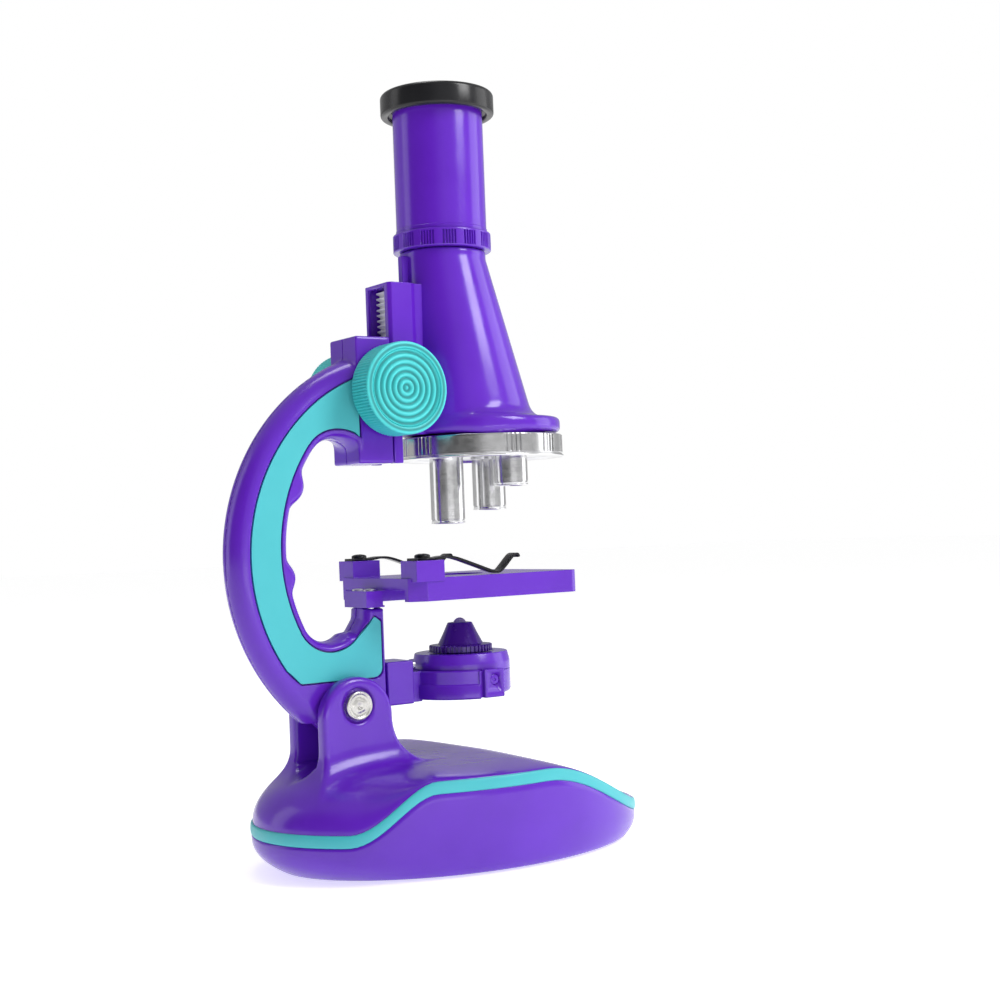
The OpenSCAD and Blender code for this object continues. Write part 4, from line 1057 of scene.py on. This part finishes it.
upper_profile = (
    at(DRUM_Z1, (6.6, -1.6), (DRUM_BORE, -1.6))
    + at(SPLIT, (DRUM_BORE, 0.02), (DRUM_R - 0.15, 0.02), (DRUM_R, 0.17))
    + at(DRUM_Z1, (DRUM_R, -3.0), (DRUM_R - 0.04, -2.6), (DRUM_R - 0.13, -2.2))
    + arc((DRUM_TOP_R - 0.3, DRUM_Z1 - 0.4), 0.4, 12, 90, 5)
    + at(DRUM_Z1, (9.8, 0), (9.6, -0.2), (6.6, -0.2))
)
cover = lathe("lamp_cover", upper_profile, (LAMP_X, 0, 0), "Z", 112)
finished(cover, "lamp", SHELL, purple, "lamp_housing_upper")
lower_profile = (
    at(DRUM_Z0, (10.6, 1.4), (10.6, 0), (11.2, 0))
    + arc((DRUM_R - 1.0, DRUM_Z0 + 1.0), 1.0, -90, 0, 6)
    + at(SPLIT, (DRUM_R, -0.17), (DRUM_R - 0.15, -0.02), (DRUM_BORE, -0.02))
    + at(DRUM_Z0, (DRUM_BORE, 2.4), (0, 2.4), (0, 1.4))
)
pin_profile = [(0, 0), (PIN_R, 0), (PIN_R, 3.6)] + arc((PIN_R - 0.3, 3.6), 0.3, 0, 90, 3)
pin_profile += [(0.5, 3.9), (0.3, 3.6), (0, 3.6)]
pins = [lathe("pin", pin_profile, (LAMP_X, side * 13.3, PIN_Z), axis, 40) for side, _, axis in SIDES]
drum = lathe("drum", lower_profile, (LAMP_X, 0, 0), "Z", 112)
finished(joined("lamp_base", drum, *pins), "lamp", SHELL, purple, "lamp_housing_lower")


def collar_teeth(angles, radius, height):
    """Square teeth round the collar."""
    if radius < COLLAR_R - 0.3:
        return np.zeros(len(angles))
    return 0.4 * (np.cos(COLLAR_TEETH * angles) > -0.2)


cone_profile = (
    [(6.1, 54.8), (6.5, 55.4), (6.5, 56.9), (9.0, 56.95), (COLLAR_R, 57.1), (COLLAR_R, 58.7), (9.0, 58.9)]
    + [(7.1, 59.0), (6.65, 59.1), (6.3, 59.7), (4.86, 62.5), (3.75, 64.9)]
    + arc((3.3, 64.9), 0.42, 20, 90, 4)
    + [(2.4, 65.35), (2.3, 61.5), (3.3, 61.4)]
)
nose = lathe("lamp_nose", cone_profile, (LAMP_X, 0, 0), "Z", COLLAR_TEETH * 8, collar_teeth, 35)
# the cone takes the darker purple copy: painted shade
finished(nose, "lamp_switch", SHELL, purple_shaded, "lamp_cone")

# ---- nodes that keep their CAD shape

for finish, nodes in (
    (zinc, "focus_shaft turret_screw turret_washer detent_spring button_cells"),
    (zinc, "lamp_screws arm_screws base_screws"),
    (acetal, "focus_pinion focus_rack"),
    (chrome, "detent_ball"),
    (glass, "objective_lens_long objective_lens_medium objective_lens_short eye_lens field_lens led_bulb"),
    (black_matt, "lens_retainer"),
    (frosted, "condenser_lens"),
    (silvering, "mirror"),
    (board, "led_board"),
    (brass, "cell_contact contact_springs"),
):
    for node in nodes.split():
        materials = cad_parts[node].data.materials
        materials.clear()
        materials.append(finish)

# ---- stage, lights and camera


def studio_floor():
    """Plain pale floor, a little lit from within so that its far edge is white."""
    mesh = bpy.data.meshes.new("studio_floor")
    half = 4.0
    corners = [(a * half, b * half, 0) for a, b in ((-1, -1), (1, -1), (1, 1), (-1, 1))]
    mesh.from_pydata(corners, [], [(0, 1, 2, 3)])
    finish = matt_surface("studio_floor", (0.78, 0.78, 0.78), (0.8, 0.8, 0.8), rough=(0.6, 0.7), grain=0.02)
    glow = finish.node_tree.nodes["Principled BSDF"].inputs
    glow["Emission Color"].default_value = (1, 1, 1, 1)
    glow["Emission Strength"].default_value = FLOOR_GLOW
    mesh.materials.append(finish)
    linked("studio_floor", mesh)


def softbox(name, place, aim, size, power):
    """Rectangular soft light, in metres and watts."""
    lamp = bpy.data.lights.new(name, "AREA")
    lamp.shape = "RECTANGLE"
    lamp.size, lamp.size_y = size
    lamp.energy = power
    box = linked(name, lamp)
    box.location = place
    box.rotation_euler = (Vector(aim) - Vector(place)).to_track_quat("-Z", "Y").to_euler()


def studio_world():
    """White surroundings, dimmer as a light than to the eye, with one soft dark curtain at the left."""
    world = bpy.data.worlds.new("studio")
    world.use_nodes = True
    scene.world = world
    tree = world.node_tree
    back = tree.nodes["Background"]
    back.inputs["Strength"].default_value = AMBIENT
    shown = add_node(tree, "Background", Color=(1, 1, 1, 1), Strength=1.0)
    toward = add_node(tree, "VectorMath", "DOT_PRODUCT")
    toward.inputs[1].default_value = CURTAIN
    fade = add_node(tree, "MapRange", From_Min=0.55, From_Max=0.9, To_Min=1.0, To_Max=0.12)
    fade.interpolation_type = "SMOOTHSTEP"
    pick = add_node(tree, "MixShader")
    for output, socket in (
        (add_node(tree, "TexCoord").outputs["Generated"], toward.inputs[0]),
        (toward.outputs["Value"], fade.inputs["Value"]),
        (fade.outputs["Result"], back.inputs["Color"]),
        (add_node(tree, "LightPath").outputs["Is Camera Ray"], pick.inputs["Fac"]),
        (back.outputs["Background"], pick.inputs[1]),
        (shown.outputs["Background"], pick.inputs[2]),
        (pick.outputs["Shader"], tree.nodes["World Output"].inputs["Surface"]),
    ):
        tree.links.new(output, socket)


studio_floor()
studio_world()
softbox("key", (0.3, -0.62, 0.6), (0, 0, 0.1), (0.3, 0.45), 4.3)
softbox("card", (-0.1, -0.62, 0.04), (0, 0, 0.05), (0.42, 0.06), 0.22)
softbox("right_fill", (0.85, -0.3, 0.3), (0, 0, 0.1), (0.5, 0.6), 1.6)
softbox("left_fill", (-0.7, 0.5, 0.35), (0, 0, 0.1), (0.3, 0.7), 0.7)
softbox("top", (-0.02, 0.12, 0.8), (0, 0, 0.1), (0.22, 0.22), 0.9)


def make_camera():
    """Camera at the photograph's viewing angle."""
    turn, pitch, roll = (math.radians(v) for v in (CAMERA_TURN, CAMERA_PITCH, CAMERA_ROLL))
    forward = Vector((-math.sin(turn) * math.cos(pitch), math.cos(turn) * math.cos(pitch), -math.sin(pitch)))
    right = forward.cross(Vector((0, 0, 1))).normalized()
    up = right.cross(forward)
    across = math.cos(roll) * right - math.sin(roll) * up
    upward = math.sin(roll) * right + math.cos(roll) * up
    data = bpy.data.cameras.new("camera")
    data.lens, data.sensor_width = CAMERA_LENS, 36
    camera = linked("camera", data)
    pose = Matrix((across, upward, -forward)).transposed().to_4x4()
    pose.translation = Vector(CAMERA_EYE) * MM
    camera.matrix_world = pose
    scene.camera = camera


make_camera()
scene.view_settings.view_transform = "Standard"
